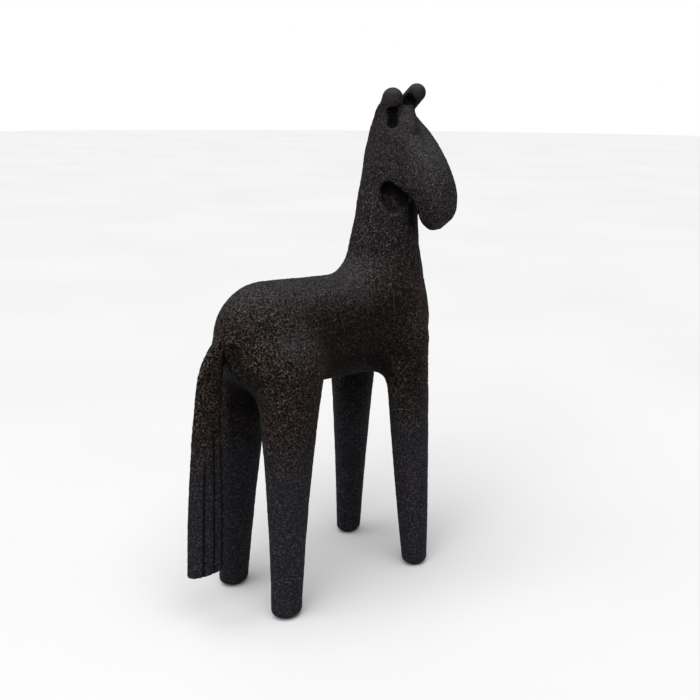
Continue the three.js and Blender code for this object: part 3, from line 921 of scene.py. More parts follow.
@dataclass
class Skin:
    """The outer surface of the whole horse: points, quads, normals and the shares of patina, painted light
    and painted shade.

    The legs and the neck branch from the barrel through wide fillets, which no one grid of two parameters
    covers. So the skin is the set of points whose distance to the form is 0, found on a cubic grid.
    """

    horse: Horse
    pitch: float
    wear: Wear = Wear()
    relief: Relief = Relief()
    block: int = 4
    batch: int = 6000
    block_reach: float = 1.15
    slide: float = 0.5
    points: np.ndarray = field(default_factory=lambda: np.zeros((0, 3)))
    quads: np.ndarray = field(default_factory=lambda: np.zeros((0, 4), int))
    normals: np.ndarray = field(default_factory=lambda: np.zeros((0, 3)))
    shares: dict[str, np.ndarray] = field(default_factory=dict)

    def sampled(self) -> np.ndarray:
        """The distance on a cubic grid: exact in the blocks that the surface passes, else by sign.

        Returns:
            The grid of distances.
        """
        low, edge = np.array(self.horse.low), self.block * self.pitch
        count = np.ceil((np.array(self.horse.high) - low) / edge).astype(int)
        corner = np.stack(np.meshgrid(*[np.arange(n) for n in count], indexing="ij"), axis=-1)
        centres = low + (corner * self.block + 0.5 * (self.block - 1)) * self.pitch
        coarse = self.horse.distance(centres)
        grid = coarse.astype(np.float32)
        for axis in range(3):
            grid = np.repeat(grid, self.block, axis=axis)
        offsets = np.stack(np.meshgrid(*[np.arange(self.block)] * 3, indexing="ij"), -1).reshape(-1, 3)
        near = corner[np.abs(coarse) < self.block_reach * edge]
        for batch in np.array_split(near, max(1, len(near) // self.batch)):
            index = batch[:, None, :] * self.block + offsets
            values = self.horse.distance(low + index * self.pitch)
            grid[index[..., 0], index[..., 1], index[..., 2]] = values
        return grid

    def mesh(self) -> None:
        """Surface nets: a point in each cell that the surface crosses, a quad round each crossed edge."""
        grid = self.sampled()
        inside = grid < 0
        cells = tuple(n - 1 for n in inside.shape)
        count = np.zeros(cells, np.int8)
        for corner in np.ndindex(2, 2, 2):
            count += inside[tuple(slice(c, c + n) for c, n in zip(corner, cells))]
        crossed = (count > 0) & (count < 8)
        cell = np.argwhere(crossed)
        number = np.full(cells, -1, np.int32)
        number[crossed] = np.arange(len(cell))
        total, hits = np.zeros((len(cell), 3)), np.zeros(len(cell))
        for start in np.ndindex(2, 2, 2):
            for axis in range(3):
                if start[axis] == 0:
                    first, way = np.array(start), np.eye(3, dtype=int)[axis]
                    a = grid[tuple((cell + first).T)]
                    b = grid[tuple((cell + first + way).T)]
                    hit = (a < 0) != (b < 0)
                    t = np.where(hit, a / np.where(hit, a - b, 1.0), 0.0)
                    total += hit[:, None] * (first + t[:, None] * way)
                    hits += hit
        self.points = np.array(self.horse.low) + self.pitch * (cell + total / hits[:, None])
        self.quads = self.quads_round_edges(inside, number)

    def quads_round_edges(self, inside: np.ndarray, number: np.ndarray) -> np.ndarray:
        """A quad through the four cells round each grid edge whose ends lie on two sides of the surface.

        Args:
            inside: Whether each grid point is inside the form.
            number: The number of each crossed cell's point.

        Returns:
            The quads, facing outwards.
        """
        found = []
        for axis in range(3):
            u, v = np.eye(3, dtype=int)[(axis + 1) % 3], np.eye(3, dtype=int)[(axis + 2) % 3]
            ahead = np.moveaxis(inside, axis, 0)
            start = np.argwhere(np.moveaxis(ahead[:-1] != ahead[1:], 0, axis))
            corners = [number[tuple((start - way).T)] for way in (0 * u, u, u + v, v)]
            quad = np.stack(corners, axis=1)
            leaves = inside[tuple(start.T)]
            quad[~leaves] = quad[~leaves][:, ::-1]
            found.append(quad)
        return np.concatenate(found)

    def settle(self, passes: int) -> None:
        """Evens the mesh out: each point slides towards its neighbours' mean, then back to the surface.

        Args:
            passes: How many times.
        """
        start = self.quads.ravel()
        end = np.roll(self.quads, -1, axis=1).ravel()
        degree = np.bincount(start, minlength=len(self.points))[:, None]
        for _ in range(passes):
            mean = [np.bincount(start, self.points[end, k], len(self.points)) for k in range(3)]
            self.points += self.slide * (np.stack(mean, axis=1) / degree - self.points)
            gap, slope = self.horse.slope(self.points)
            self.points -= (gap / np.maximum((slope**2).sum(axis=1), 0.2))[:, None] * slope
        self.normals = slope / np.linalg.norm(slope, axis=1, keepdims=True)

    def dress(self) -> None:
        """Works out how the patina and the painted light and shade lie at each point, and raises the cast
        relief along the normals.
        """
        self.shares = self.wear.shares(self.horse, self.points, self.normals, self.shelter())
        lower_leg = step_between(self.points[:, 2], *self.wear.lower_leg)
        height = self.relief.height(self.points, self.shares["rough"], lower_leg)
        self.points = self.points + height[:, None] * self.normals
        self.normals = self.vertex_normals()

    def shelter(self, reaches: tuple[float, ...] = (3.0, 7.0, 14.0, 26.0)) -> np.ndarray:
        """How sheltered each point is: how far the form's distance lags behind a step along the normal.

        Args:
            reaches: The steps, in mm.

        Returns:
            Shelter from 0 in the open to 1 in a crevice.
        """
        total = np.zeros(len(self.points))
        for reach in reaches:
            gap = self.horse.distance(self.points + reach * self.normals)
            total += np.clip(1.0 - gap / reach, 0.0, 1.0)
        return total / len(reaches)

    def vertex_normals(self) -> np.ndarray:
        """The normal at each point: the sum of its quads' area vectors, each half its diagonals' product.

        Returns:
            Unit normals.
        """
        a, b, c, d = (self.points[self.quads[:, i]] for i in range(4))
        area = np.cross(c - a, d - b)
        total = [
            np.bincount(self.quads.ravel(), np.repeat(area[:, k], 4), len(self.points)) for k in range(3)
        ]
        normals = np.stack(total, axis=1)
        return normals / np.linalg.norm(normals, axis=1, keepdims=True)


# ---- Finishes -----------------------------------------------------------------------------------------


Colour = tuple[float, float, float, float]


class NodeBuilder:
    """A short way to add and join the nodes of one material."""

    def __init__(self, name: str) -> None:
        """Makes an empty node material.

        Args:
            name: The material's name.
        """
        self.material = bpy.data.materials.new(name)
        self.material.use_nodes = True
        self.tree = self.material.node_tree
        self.tree.nodes.clear()
        self.shader = self.add("ShaderNodeBsdfPrincipled")
        output = self.add("ShaderNodeOutputMaterial")
        self.join(self.shader.outputs["BSDF"], output.inputs["Surface"])
        self.coords = self.add("ShaderNodeTexCoord").outputs["Object"]

    def add(self, kind: str, **settings: object) -> bpy.types.Node:
        """Adds a node.

        Args:
            kind: The node's type.
            **settings: Its properties.

        Returns:
            The node.
        """
        node = self.tree.nodes.new(kind)
        for key, value in settings.items():
            setattr(node, key, value)
        return node

    def join(self, output: bpy.types.NodeSocket, socket: bpy.types.NodeSocket) -> None:
        """Links an output to an input."""
        self.tree.links.new(output, socket)

    def put(self, value: object, socket: bpy.types.NodeSocket) -> None:
        """Links a socket's value in, or sets it as the input's own value.

        Args:
            value: An output socket or a constant.
            socket: The input.
        """
        if isinstance(value, bpy.types.NodeSocket):
            self.join(value, socket)
        else:
            socket.default_value = value

    def noise(self, wavelength: float, detail: float, twist: float = 0.0) -> bpy.types.NodeSocket:
        """Cloudy noise on the piece's own coordinates.

        Args:
            wavelength: Its size in mm.
            detail: How many finer layers it has.
            twist: How much it is distorted.

        Returns:
            The noise, about 0.5 in the mean.
        """
        node = self.add("ShaderNodeTexNoise", noise_dimensions="3D")
        self.join(self.coords, node.inputs["Vector"])
        node.inputs["Scale"].default_value = 1.0 / (wavelength * MM)
        node.inputs["Detail"].default_value = detail
        node.inputs["Distortion"].default_value = twist
        return node.outputs["Fac"]

    def share(self, name: str) -> bpy.types.NodeSocket:
        """A named share that is stored on the mesh's points."""
        return self.add("ShaderNodeAttribute", attribute_name=name).outputs["Fac"]

    def ramp(self, value: bpy.types.NodeSocket, low: float, high: float) -> bpy.types.NodeSocket:
        """A soft step from 0 at low to 1 at high.

        Args:
            value: What is compared.
            low: Where the step is 0.
            high: Where the step is 1.

        Returns:
            The step.
        """
        node = self.add("ShaderNodeMapRange", interpolation_type="SMOOTHSTEP")
        self.join(value, node.inputs["Value"])
        node.inputs["From Min"].default_value = low
        node.inputs["From Max"].default_value = high
        return node.outputs["Result"]

    def math(self, operation: str, a: object, b: object = 0.0, c: object = 0.5) -> bpy.types.NodeSocket:
        """A sum, product or other operation on up to three values.

        Args:
            operation: The Math node's operation.
            a: A socket or a number.
            b: A socket or a number.
            c: A socket or a number, which only operations on three values use.

        Returns:
            The result.
        """
        node = self.add("ShaderNodeMath", operation=operation)
        for value, socket in zip((a, b, c), node.inputs):
            self.put(value, socket)
        return node.outputs[0]

    def mix(self, share: object, first: object, second: object) -> bpy.types.NodeSocket:
        """A mix of two colours.

        Args:
            share: How much of the second colour, from 0 to 1.
            first: A colour or a colour socket.
            second: A colour or a colour socket.

        Returns:
            The mixed colour.
        """
        node = self.add("ShaderNodeMix", data_type="RGBA", blend_type="MIX")
        self.put(share, node.inputs["Factor"])
        self.put(first, node.inputs["A"])
        self.put(second, node.inputs["B"])
        return node.outputs["Result"]

    def bump(self, height: bpy.types.NodeSocket, depth: float, strength: float) -> None:
        """Raises a fine relief on the shader.

        Args:
            height: The relief, from 0 to 1.
            depth: What a height of 1 is, in mm.
            strength: How much of it is applied.
        """
        node = self.add("ShaderNodeBump")
        node.inputs["Distance"].default_value = depth * MM
        node.inputs["Strength"].default_value = strength
        self.join(height, node.inputs["Height"])
        self.join(node.outputs["Normal"], self.shader.inputs["Normal"])


@dataclass(frozen=True)
class Patina:
    """The dark chemical patina over the cast skin, rubbed to brown bronze on its high grains, partly as a
    painted highlight, with its low pits blackened, partly as painted shade.
    """

    black: Colour = (0.0115, 0.0095, 0.0098, 1.0)
    brown: Colour = (0.02, 0.0135, 0.011, 1.0)
    blue_black: Colour = (0.0135, 0.0128, 0.0178, 1.0)
    # Painted light: the lighter grey laid on the lit tops, the face and the nape.
    grey: Colour = (0.037, 0.0352, 0.0358, 1.0)
    # Rubbed bronze on the high grain and the dock's lip, partly a painted highlight.
    rubbed: Colour = (0.088, 0.066, 0.053, 1.0)
    rubbed_grey: Colour = (0.086, 0.078, 0.08, 1.0)
    # Near black for the grain's pits and for all painted shade.
    pit_and_shade_black: Colour = (0.0006, 0.0005, 0.0006, 1.0)
    cloud: float = 9.0
    cloud_band: Band = (0.35, 0.65)
    worm: float = 2.4
    worm_line: Band = (0.07, 0.01)
    grain: float = 1.3
    high_grain: Band = (0.4, 0.62)
    low_grain: Band = (0.53, 0.42)
    finer: float = 0.6
    grain_depth: float = 0.8
    side_and_under_shade_weight: float = 0.75
    roughness: float = 0.57
    roughness_spread: float = 0.2
    specular: float = 0.045

    def build(self) -> bpy.types.Material:
        """Mixes black, brown and blue-black by the mesh's shares, lightens the lit parts towards grey as
        painted light, then adds worm lines and pits.

        The worm lines are where one noise is near its mean, and the pits are the low places of a finer one.
        The painted shade in the recesses, on the girth, on undersides and on the legs' inner faces, and the
        pits come last, so they blacken whatever lies beneath.

        Returns:
            The material.
        """
        make = NodeBuilder("bronze_patina")
        cloud = make.ramp(make.noise(self.cloud, 4.0), *self.cloud_band)
        worms = make.math("ABSOLUTE", make.math("SUBTRACT", make.noise(self.worm, 1.0, 0.5), 0.5))
        line = make.ramp(worms, *self.worm_line)
        crackle = make.noise(self.grain, 2.0, 0.4)
        fine = make.noise(self.finer * self.grain, 1.0)
        rough = make.share("rough")
        base = make.mix(make.share("cool"), self.black, self.blue_black)
        warm = make.math("MULTIPLY", make.share("warm"), make.math("MULTIPLY_ADD", cloud, 0.5, 0.5))
        base = make.mix(warm, base, self.brown)
        # Painted light: the tops, the face and the nape are lightened towards grey.
        base = make.mix(make.share("grey"), base, self.grey)
        # The high grain is rubbed to bronze, partly as a painted highlight.
        ridge = make.math("MULTIPLY", line, make.ramp(crackle, *self.high_grain))
        # The dock's lip takes the rubbed bronze too, as a painted highlight.
        ridge = make.math("MAXIMUM", make.math("MULTIPLY", ridge, rough), make.share("rubbed"))
        # Where painted light or the cool tone lies, the rubbed grain and lip are greyer.
        neutral = make.math("MAXIMUM", make.share("cool"), make.share("grey"))
        base = make.mix(ridge, base, make.mix(neutral, self.rubbed, self.rubbed_grey))
        # The low grain is blackened, partly as painted shade in its pits.
        low = make.math("MULTIPLY", make.ramp(crackle, *self.low_grain), rough)
        base = make.mix(low, base, self.pit_and_shade_black)
        # Painted shade on the girth between the legs, the undersides and the legs' inner faces.
        base = make.mix(make.math("MULTIPLY", make.share("soot"), self.side_and_under_shade_weight), base, self.pit_and_shade_black)
        # Painted shade: the head's hollows, the tail's grooves and sheltered crevices are blackened.
        base = make.mix(make.share("recess"), base, self.pit_and_shade_black)
        make.join(base, make.shader.inputs["Base Color"])
        dull = make.math("MULTIPLY_ADD", fine, self.roughness_spread, self.roughness)
        make.join(dull, make.shader.inputs["Roughness"])
        make.shader.inputs["Metallic"].default_value = 0.0
        make.shader.inputs["Specular IOR Level"].default_value = self.specular
        relief = make.math("ADD", make.math("MULTIPLY", line, 0.5), crackle)
        relief = make.math("ADD", make.math("MULTIPLY", relief, rough), make.math("MULTIPLY", fine, 0.3))
        make.bump(relief, self.grain_depth, 1.0)
        return make.material


@dataclass(frozen=True)
class BareBronze:
    """Machined bronze, unpatinated, with fine turning marks along the piece."""

    bright: Colour = (0.46, 0.27, 0.11, 1.0)
    dull: Colour = (0.26, 0.15, 0.065, 1.0)

    def build(self) -> bpy.types.Material:
        """Clouds two bronzes into each other and raises turning marks from a fine banded wave.

        Returns:
            The material.
        """
        make = NodeBuilder("bare_bronze")
        stain = make.ramp(make.noise(6.0, 3.0), 0.3, 0.7)
        make.join(make.mix(stain, self.bright, self.dull), make.shader.inputs["Base Color"])
        marks = make.add("ShaderNodeTexWave", wave_type="BANDS", bands_direction="Z")
        make.join(make.coords, marks.inputs["Vector"])
        marks.inputs["Scale"].default_value = 600.0
        marks.inputs["Distortion"].default_value = 1.5
        worn = make.math("MULTIPLY_ADD", make.noise(1.0, 2.0), 0.25, 0.25)
        make.join(worn, make.shader.inputs["Roughness"])
        make.shader.inputs["Metallic"].default_value = 1.0
        make.bump(marks.outputs["Fac"], 0.02, 0.5)
        return make.material


@dataclass(frozen=True)
class Felt:
    """Pressed black felt: a matted, fibrous surface with a soft sheen."""

    dark: Colour = (0.008, 0.008, 0.009, 1.0)
    light: Colour = (0.03, 0.03, 0.032, 1.0)

    def build(self) -> bpy.types.Material:
        """Mixes two blacks by a twisted fine noise, which is the relief too.

        Returns:
            The material.
        """
        make = NodeBuilder("felt")
        fibres = make.noise(0.5, 5.0, 2.0)
        tone = make.mix(make.ramp(fibres, 0.35, 0.7), self.dark, self.light)
        make.join(tone, make.shader.inputs["Base Color"])
        make.shader.inputs["Roughness"].default_value = 0.95
        make.shader.inputs["Sheen Weight"].default_value = 0.3
        make.bump(fibres, 0.15, 0.8)
        return make.material


# ---- Pieces -------------------------------------------------------------------------------------------


def mesh_object(
    name: str, points: np.ndarray, faces: np.ndarray, normals: np.ndarray | None
) -> bpy.types.Object:
    """A mesh object at the origin from points in metres.

    Args:
        name: The piece's name.
        points: Its points.
        faces: Its faces as point numbers, all with as many corners; -1 leaves a corner out.
        normals: A shading normal for each point, or None for the faces' own.

    Returns:
        The object, linked into the scene.
    """
    sides = (faces >= 0).sum(axis=1)
    mesh = bpy.data.meshes.new(name)
    mesh.vertices.add(len(points))
    mesh.vertices.foreach_set("co", points.astype(np.float32).ravel())
    mesh.loops.add(int(sides.sum()))
    mesh.loops.foreach_set("vertex_index", faces[faces >= 0].astype(np.int32))
    mesh.polygons.add(len(faces))
    mesh.polygons.foreach_set("loop_start", np.concatenate([[0], np.cumsum(sides)[:-1]]).astype(np.int32))
    mesh.update(calc_edges=True)
    mesh.polygons.foreach_set("use_smooth", np.ones(len(faces), bool))
    if normals is not None:
        mesh.normals_split_custom_set_from_vertices(normals.astype(np.float32).tolist())
    piece = bpy.data.objects.new(name, mesh)
    bpy.context.scene.collection.objects.link(piece)
    return piece


def hand_over(piece: bpy.types.Object, finish: bpy.types.Material, node: str) -> None:
    """Finishes a piece that stands for a CAD node and rides on the fixed body.

    Args:
        piece: The piece.
        finish: Its material.
        node: The CAD node.
    """
    piece.data.materials.append(finish)
    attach(piece, "root")
    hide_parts(node)
    log.info("%s: %d faces", piece.name, len(piece.data.polygons))


def quad_grid(rows: int, around: int) -> np.ndarray:
    """The quads between rows of points that run round an axis: each row's last point meets its first.

    Args:
        rows: How many rows of points there are.
        around: How many points a row has.

    Returns:
        The quads, facing away from the axis where the rows rise along it.
    """
    i, j = np.meshgrid(np.arange(rows - 1), np.arange(around), indexing="ij")
    after = (j + 1) % around
    corners = [i * around + j, i * around + after, (i + 1) * around + after, (i + 1) * around + j]
    return np.stack(corners, axis=-1).reshape(-1, 4)


def turned(
    start: np.ndarray, axis: np.ndarray, places: np.ndarray, radii: np.ndarray, around: int
) -> tuple[np.ndarray, np.ndarray]:
    """A profile turned round an axis: each row of points is a circle; its two ends close on the axis.

    Args:
        start: Where the axis starts, in metres.
        axis: Its direction, of length 1.
        places: How far along the axis each circle is.
        radii: Each circle's radius.
        around: How many points a circle has.

    Returns:
        The points and the faces.
    """
    is_upright = abs(axis[2]) >= 0.9
    side = np.cross(axis, [1.0, 0.0, 0.0] if is_upright else [0.0, 0.0, 1.0])
    side /= np.linalg.norm(side)
    up = np.cross(axis, side)
    angle = 2.0 * math.pi * np.arange(around) / around
    spoke = np.cos(angle)[:, None] * side + np.sin(angle)[:, None] * up
    rings = start + places[:, None, None] * axis + radii[:, None, None] * spoke
    count = len(places) * around
    k, gap = np.arange(around), np.full(around, -1)
    k_after, last = (k + 1) % around, count - around
    under = np.stack([k_after, k, np.full(around, count), gap], axis=1)
    over = np.stack([last + k, last + k_after, np.full(around, count + 1), gap], axis=1)
    poles = np.stack([start + places[0] * axis, start + places[-1] * axis])
    faces = np.concatenate([quad_grid(len(places), around), under, over])
    return np.concatenate([rings.reshape(-1, 3), poles]), faces


@dataclass
class Castings:
    """The eight castings, cut from one skin so that their joints don't show. The pitches are in mm."""

    horse: Horse = field(default_factory=Horse)
    pitch: float = 0.88
    quick_pitch: float = 1.5
    settle_passes: int = 3
    cap_dish: float = 0.2
    slot: str = "bronze_patina"

    def shift(self) -> np.ndarray:
        """From the horse's own frame to the CAD frame: where the CAD put the left fore foot's felt.

        Returns:
            The shift in metres.
        """
        low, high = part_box("felt_fore_left")
        centre = 0.5 * (np.array(low) + np.array(high))
        foot = np.array([*self.horse.fore_left.foot, 0.0]) * MM
        return np.array([centre[0] - foot[0], centre[1] - foot[1], 0.0])

    def build(self, finish: bpy.types.Material) -> list[bpy.types.Object]:
        """Makes the skin, parts it, and makes each casting a closed piece.

        Args:
            finish: The patina.

        Returns:
            The castings.
        """
        skin = Skin(self.horse, self.pitch)
        skin.mesh()
        skin.settle(self.settle_passes)
        centres = skin.points[skin.quads].mean(axis=1)
        owner = self.horse.casting_of(centres)
        skin.dress()
        log.info("skin: %d points, %d quads", len(skin.points), len(skin.quads))
        return [self.part(skin, owner, i, name.value, finish) for i, name in enumerate(CastingName)]

    def part(
        self, skin: Skin, owner: np.ndarray, index: int, node: str, finish: bpy.types.Material
    ) -> bpy.types.Object:
        """One casting: its own quads, closed at each joint by a shallow dish of triangles.

        Args:
            skin: The whole skin.
            owner: The casting number of each quad.
            index: This casting's number.
            node: This casting's CAD node.
            finish: The patina.

        Returns:
            The piece.
        """
        quads = skin.quads[owner == index]
        starts, ends = skin.quads.ravel(), np.roll(skin.quads, -1, axis=1).ravel()
        size = len(skin.points)
        owners = np.repeat(owner, 4)
        forward, backward = starts * size + ends, ends * size + starts
        order = np.argsort(forward)
        mate = order[np.searchsorted(forward[order], backward)]
        across = owners[mate]
        rim = (owners == index) & (across != index)
        points, faces = [skin.points], [quads]
        count = size
        for other in np.unique(across[rim]):
            loop = rim & (across == other)
            ring = skin.points[starts[loop]]
            middle = ring.mean(axis=0)
            inwards = skin.points[np.unique(quads)].mean(axis=0) - middle
            middle = middle + self.cap_dish * inwards / np.linalg.norm(inwards)
            points.append(middle[None])
            hub = np.full(int(loop.sum()), count)
            fan = np.stack([ends[loop], starts[loop], hub, np.full(len(hub), -1)], axis=1)
            faces.append(fan)
            count += 1
        all_faces = np.concatenate(faces)
        used = np.unique(all_faces[all_faces >= 0])
        renumber = np.full(count, -1)
        renumber[used] = np.arange(len(used))
        all_faces = np.where(all_faces >= 0, renumber[all_faces], -1)
        all_points = np.concatenate(points)[used]
        caps = count - size
        normals = np.concatenate([skin.normals, np.tile([0.0, 0.0, 1.0], (caps, 1))])[used]
        piece = mesh_object(f"{node}_casting", all_points * MM + self.shift(), all_faces, normals)
        for name, values in skin.shares.items():
            share = piece.data.attributes.new(name, "FLOAT", "POINT")
            capped = np.concatenate([values, np.zeros(caps)])[used]
            share.data.foreach_set("value", capped.astype(np.float32))
        hand_over(piece, finish, node)
        return piece


@dataclass
class FeltPads:
    """The felt discs under the feet, with softly rounded rims."""

    feet: tuple[str, ...] = ("fore_right", "fore_left", "hind_right", "hind_left")
    rim_round: float = 0.45 * MM
    flat_share: float = 0.5
    around: int = 96
    rim_steps: int = 6
    slot: str = "felt"

    def disc(self, node: str) -> tuple[np.ndarray, np.ndarray]:
        """A profile turned about the disc's axis: radius and height follow two rounded corners.

        Args:
            node: The CAD disc, which gives the centre, radius and height.

        Returns:
            The points and the faces.
        """
        low, high = (np.array(corner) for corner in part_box(node))
        thickness, radius = high[2] - low[2], 0.5 * (high[0] - low[0])
        turn = np.linspace(0.0, 0.5 * math.pi, self.rim_steps)
        rim = radius - self.rim_round + self.rim_round * np.sin(turn)
        lower = self.rim_round * (1.0 - np.cos(turn))
        flat = self.flat_share * radius
        radii = np.concatenate([[flat], rim, rim[::-1], [flat]])
        places = np.concatenate([[0.0], lower, (thickness - lower)[::-1], [thickness]])
        bottom = np.array([0.5 * (low[0] + high[0]), 0.5 * (low[1] + high[1]), low[2]])
        return turned(bottom, np.array([0.0, 0.0, 1.0]), places, radii, self.around)

    def build(self, finish: bpy.types.Material) -> list[bpy.types.Object]:
        """Makes one pad for each foot.

        Args:
            finish: The felt.

        Returns:
            The pads.
        """
        pads = []
        for foot in self.feet:
            node = f"felt_{foot}"
            points, faces = self.disc(node)
            pad = mesh_object(f"pad_{foot}", points, faces, None)
            hand_over(pad, finish, node)
            pads.append(pad)
        return pads


@dataclass
class Joinery:
    """The pins, sleeves and dowel inside the castings, all of bare machined bronze.

    The pins and the head's sleeve are made again a little inside the skin, with rounded ends; the other
    sleeves and the dowel stay as the CAD has them.
    """

    horse: Horse = field(default_factory=Horse)
    around: int = 48
    pin_end_round: float = 0.4 * MM
    pin_end_steps: int = 5
    pin_reach: tuple[float, float, int] = (0.2, 1.0, 81)
    pin_cover: float = 1.0
    sleeve_wall: float = 2.5 * MM
    sleeve_shrink: float = 0.5
    sleeve_rise: float = 0.3
    kept: tuple[str, ...] = ("sleeve_neck", "sleeve_leg_", "dowel_")
    slot: str = "bare_bronze"

    def pin(self, node: bpy.types.Object, shift: np.ndarray) -> tuple[np.ndarray, np.ndarray]:
        """A pin on the CAD pin's axis, shortened until its outer end lies well inside the skin.

        The axis is the direction in which the CAD pin's points spread most.

        Args:
            node: The CAD pin.
            shift: From the horse's own frame to the CAD frame, in metres.

        Returns:
            The points and the faces.
        """
        flat = np.empty(3 * len(node.data.vertices), np.float32)
        node.data.vertices.foreach_get("co", flat)
        points = flat.reshape(-1, 3).astype(float)
        low, high = points.min(axis=0), points.max(axis=0)
        centre = 0.5 * (low + high)
        spread, ways = np.linalg.eigh(np.cov((points - centre).T))
        axis = ways[:, np.argmax(spread)]
        along = (points - centre) @ axis
        radius = np.linalg.norm(points - centre - along[:, None] * axis, axis=1).max()
        ends = []
        for sign in (-1.0, 1.0):
            reach = np.linspace(*self.pin_reach) * np.abs(along).max()
            depth = self.horse.distance((centre + sign * reach[:, None] * axis - shift) / MM)
            ends.append(sign * reach[depth < -self.pin_cover].max())
        turn = np.linspace(0.0, 0.5 * math.pi, self.pin_end_steps)
        drop = self.pin_end_round * (1.0 - np.sin(turn))
        inset = radius - self.pin_end_round * (1.0 - np.cos(turn))
        places = np.concatenate([(ends[0] + drop)[::-1], ends[1] - drop])
        radii = np.concatenate([inset[::-1], inset])
        return turned(centre, axis, places, radii, self.around)

    def sleeve(self, name: str) -> tuple[np.ndarray, np.ndarray]:
        """An oval tube: its wall's square profile carried round an oval; the seam closes on itself.

        Args:
            name: The CAD sleeve, which gives the place and, shrunk, the width and depth.

        Returns:
            The points and the faces.
        """
        low, high = (np.array(corner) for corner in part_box(name))
        centre, half = 0.5 * (low + high), 0.5 * self.sleeve_shrink * (high - low)
        bottom = low[2] + self.sleeve_rise * (high[2] - low[2])
        angle = 2.0 * math.pi * np.arange(self.around) / self.around
        inset = np.array([0.0, 0.0, 1.0, 1.0]) * self.sleeve_wall
        height = np.array([bottom, high[2], high[2], bottom])
        x = centre[0] + (half[0] - inset[:, None]) * np.cos(angle)
        y = centre[1] + (half[1] - inset[:, None]) * np.sin(angle)
        z = np.broadcast_to(height[:, None], x.shape)
        faces = quad_grid(len(height) + 1, self.around) % (len(height) * self.around)
        return np.stack([x, y, z], axis=-1).reshape(-1, 3), faces

    def build(
        self, nodes: dict[str, bpy.types.Object], shift: np.ndarray, finish: bpy.types.Material
    ) -> None:
        """Makes the pins and the head's sleeve, and gives the nodes that stay their finish.

        Args:
            nodes: The CAD nodes by name.
            shift: From the horse's own frame to the CAD frame, in metres.
            finish: The bare bronze.
        """
        for name, node in nodes.items():
            if name.startswith(self.kept):
                for held in node.material_slots:
                    held.material = finish
                log.info("%s: kept, machined bronze", name)
            elif name.startswith(("pin_", "sleeve_head")):
                points, faces = self.pin(node, shift) if name.startswith("pin_") else self.sleeve(name)
                piece = mesh_object(f"{name}_turned", points, faces, None)
                piece.data.polygons.foreach_set("use_smooth", np.zeros(len(faces), bool))
                hand_over(piece, finish, name)


# ---- Studio -------------------------------------------------------------------------------------------


@dataclass
class Softbox:
    """One soft light, aimed at the middle of the horse. Places are in metres from that middle."""

    name: str
    place: tuple[float, float, float]
    size: float
    power: float

    def build(self, middle: Vector) -> None:
        """Makes the light.

        Args:
            middle: The middle of the horse.
        """
        lamp = bpy.data.lights.new(self.name, "AREA")
        lamp.shape = "DISK"
        lamp.size = self.size
        lamp.energy = self.power
        light = bpy.data.objects.new(self.name, lamp)
        light.location = middle + Vector(self.place)
        light.rotation_euler = (-Vector(self.place)).to_track_quat("-Z", "Y").to_euler()
        bpy.context.scene.collection.objects.link(light)


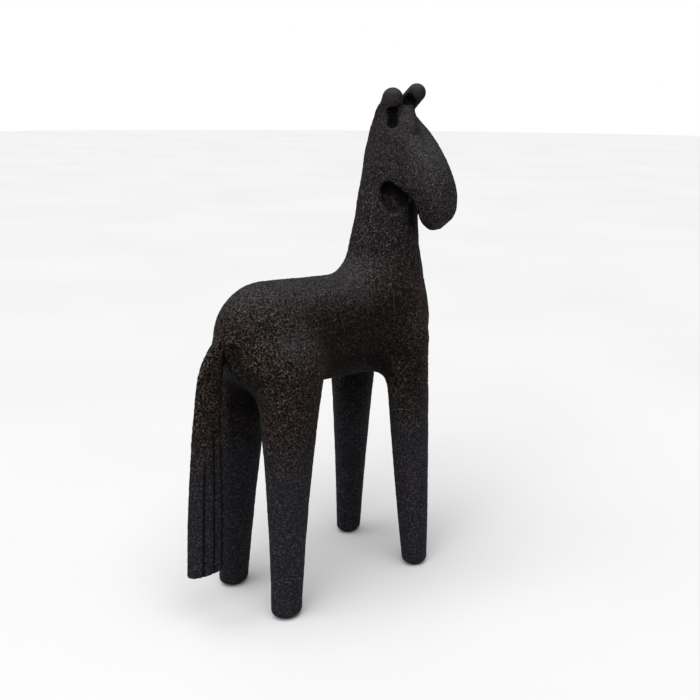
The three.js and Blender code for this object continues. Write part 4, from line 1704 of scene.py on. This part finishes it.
@dataclass
class Studio:
    """A pale floor in a white room, soft lights, and the camera behind the horse's right side."""

    floor_rings: tuple[float, ...] = (0.5, 2.0, 8.0)
    floor_around: int = 128
    floor_colour: Colour = (0.62, 0.62, 0.62, 1.0)
    floor_cloud: Colour = (0.6, 0.6, 0.6, 1.0)
    room_colour: Colour = (1.0, 1.0, 1.0, 1.0)
    room_strength: float = 0.4
    backdrop_strength: float = 1.0
    overhead_strength: float = 3.7
    overhead_softness: float = 70.0
    overhead_from: tuple[float, float, float] = (-0.15, 0.35, 1.0)
    lights: tuple[Softbox, ...] = (Softbox("rear_softbox", (-0.6, 1.3, 0.8), 0.9, 5.0),)
    camera_place: tuple[float, float, float] = (-514.47, 460.49, 370.65)
    camera_heading: float = -132.94
    camera_pitch: float = -15.45
    camera_roll: float = 0.39
    camera_lens: float = 48.9
    camera_sensor: float = 36.0

    def floor(self) -> bpy.types.Object:
        """A wide round floor: rings of points about the origin, with one hub.

        Returns:
            The floor.
        """
        around, radii = self.floor_around, np.array(self.floor_rings)
        angle = 2.0 * math.pi * np.arange(around) / around
        x, y = radii[:, None] * np.cos(angle), radii[:, None] * np.sin(angle)
        ring = np.stack([x, y, np.zeros_like(x)], axis=-1).reshape(-1, 3)
        k = np.arange(around)
        hub = np.stack([k, (k + 1) % around, np.full(around, len(ring)), np.full(around, -1)], axis=1)
        faces = np.concatenate([quad_grid(len(radii), around)[:, ::-1], hub])
        floor = mesh_object("studio_floor", np.concatenate([ring, np.zeros((1, 3))]), faces, None)
        make = NodeBuilder("studio_floor")
        tone = make.mix(make.ramp(make.noise(400.0, 2.0), 0.3, 0.7), self.floor_colour, self.floor_cloud)
        make.join(tone, make.shader.inputs["Base Color"])
        make.shader.inputs["Roughness"].default_value = 0.9
        make.shader.inputs["Specular IOR Level"].default_value = 0.1
        floor.data.materials.append(make.material)
        floor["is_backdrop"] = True
        log.info("%s: %d faces", floor.name, len(faces))
        return floor

    def room(self) -> None:
        """A white backdrop, which lights the horse more softly than it looks itself."""
        world = bpy.data.worlds.new("white_room")
        world.use_nodes = True
        tree = world.node_tree
        light = tree.nodes["Background"]
        backdrop = tree.nodes.new("ShaderNodeBackground")
        seen = tree.nodes.new("ShaderNodeLightPath")
        choice = tree.nodes.new("ShaderNodeMixShader")
        for node, strength in ((light, self.room_strength), (backdrop, self.backdrop_strength)):
            node.inputs["Color"].default_value = self.room_colour
            node.inputs["Strength"].default_value = strength
        tree.links.new(seen.outputs["Is Camera Ray"], choice.inputs["Fac"])
        tree.links.new(light.outputs["Background"], choice.inputs[1])
        tree.links.new(backdrop.outputs["Background"], choice.inputs[2])
        tree.links.new(choice.outputs["Shader"], tree.nodes["World Output"].inputs["Surface"])
        bpy.context.scene.world = world

    def overhead(self) -> None:
        """A broad, even light from above, so soft that its shadows have no edge."""
        lamp = bpy.data.lights.new("overhead", "SUN")
        lamp.energy = self.overhead_strength
        lamp.angle = math.radians(self.overhead_softness)
        light = bpy.data.objects.new("overhead", lamp)
        light.rotation_euler = Vector(self.overhead_from).to_track_quat("Z", "Y").to_euler()
        bpy.context.scene.collection.objects.link(light)

    def camera(self, shift: np.ndarray) -> None:
        """Sets the camera up.

        Args:
            shift: From the horse's own frame to the CAD frame, in metres.
        """
        data = bpy.data.cameras.new("camera")
        data.lens = self.camera_lens
        data.sensor_width = self.camera_sensor
        data.dof.use_dof = False
        camera = bpy.data.objects.new("camera", data)
        heading = Matrix.Rotation(math.radians(self.camera_heading), 4, "Z")
        pitch = Matrix.Rotation(math.radians(90.0 + self.camera_pitch), 4, "X")
        roll = Matrix.Rotation(math.radians(self.camera_roll), 4, "Z")
        place = Vector(np.array(self.camera_place) * MM + shift)
        camera.matrix_world = Matrix.Translation(place) @ heading @ pitch @ roll
        bpy.context.scene.collection.objects.link(camera)
        bpy.context.scene.camera = camera

    def build(self, box: tuple[Vector, Vector], shift: np.ndarray) -> None:
        """Makes the floor, the room, the lights and the camera.

        Args:
            box: The CAD model's lowest and highest corners.
            shift: From the horse's own frame to the CAD frame, in metres.
        """
        bpy.context.scene.view_settings.view_transform = "Standard"
        self.floor()
        self.room()
        self.overhead()
        self.camera(shift)
        middle = (box[0] + box[1]) / 2
        for light in self.lights:
            light.build(middle)
            log.info("%s: %.1f W", light.name, light.power)


def main() -> None:
    """Builds the horse and the studio, with the lights placed about the CAD box."""
    logging.basicConfig(level=logging.INFO, format="%(name)s %(message)s")
    cad_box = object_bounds()
    castings = Castings()
    castings.build(Patina().build())
    FeltPads().build(Felt().build())
    Joinery(castings.horse).build(frame["nodes"], castings.shift(), BareBronze().build())
    Studio().build(cad_box, castings.shift())


if __name__ == "__main__":
    main()
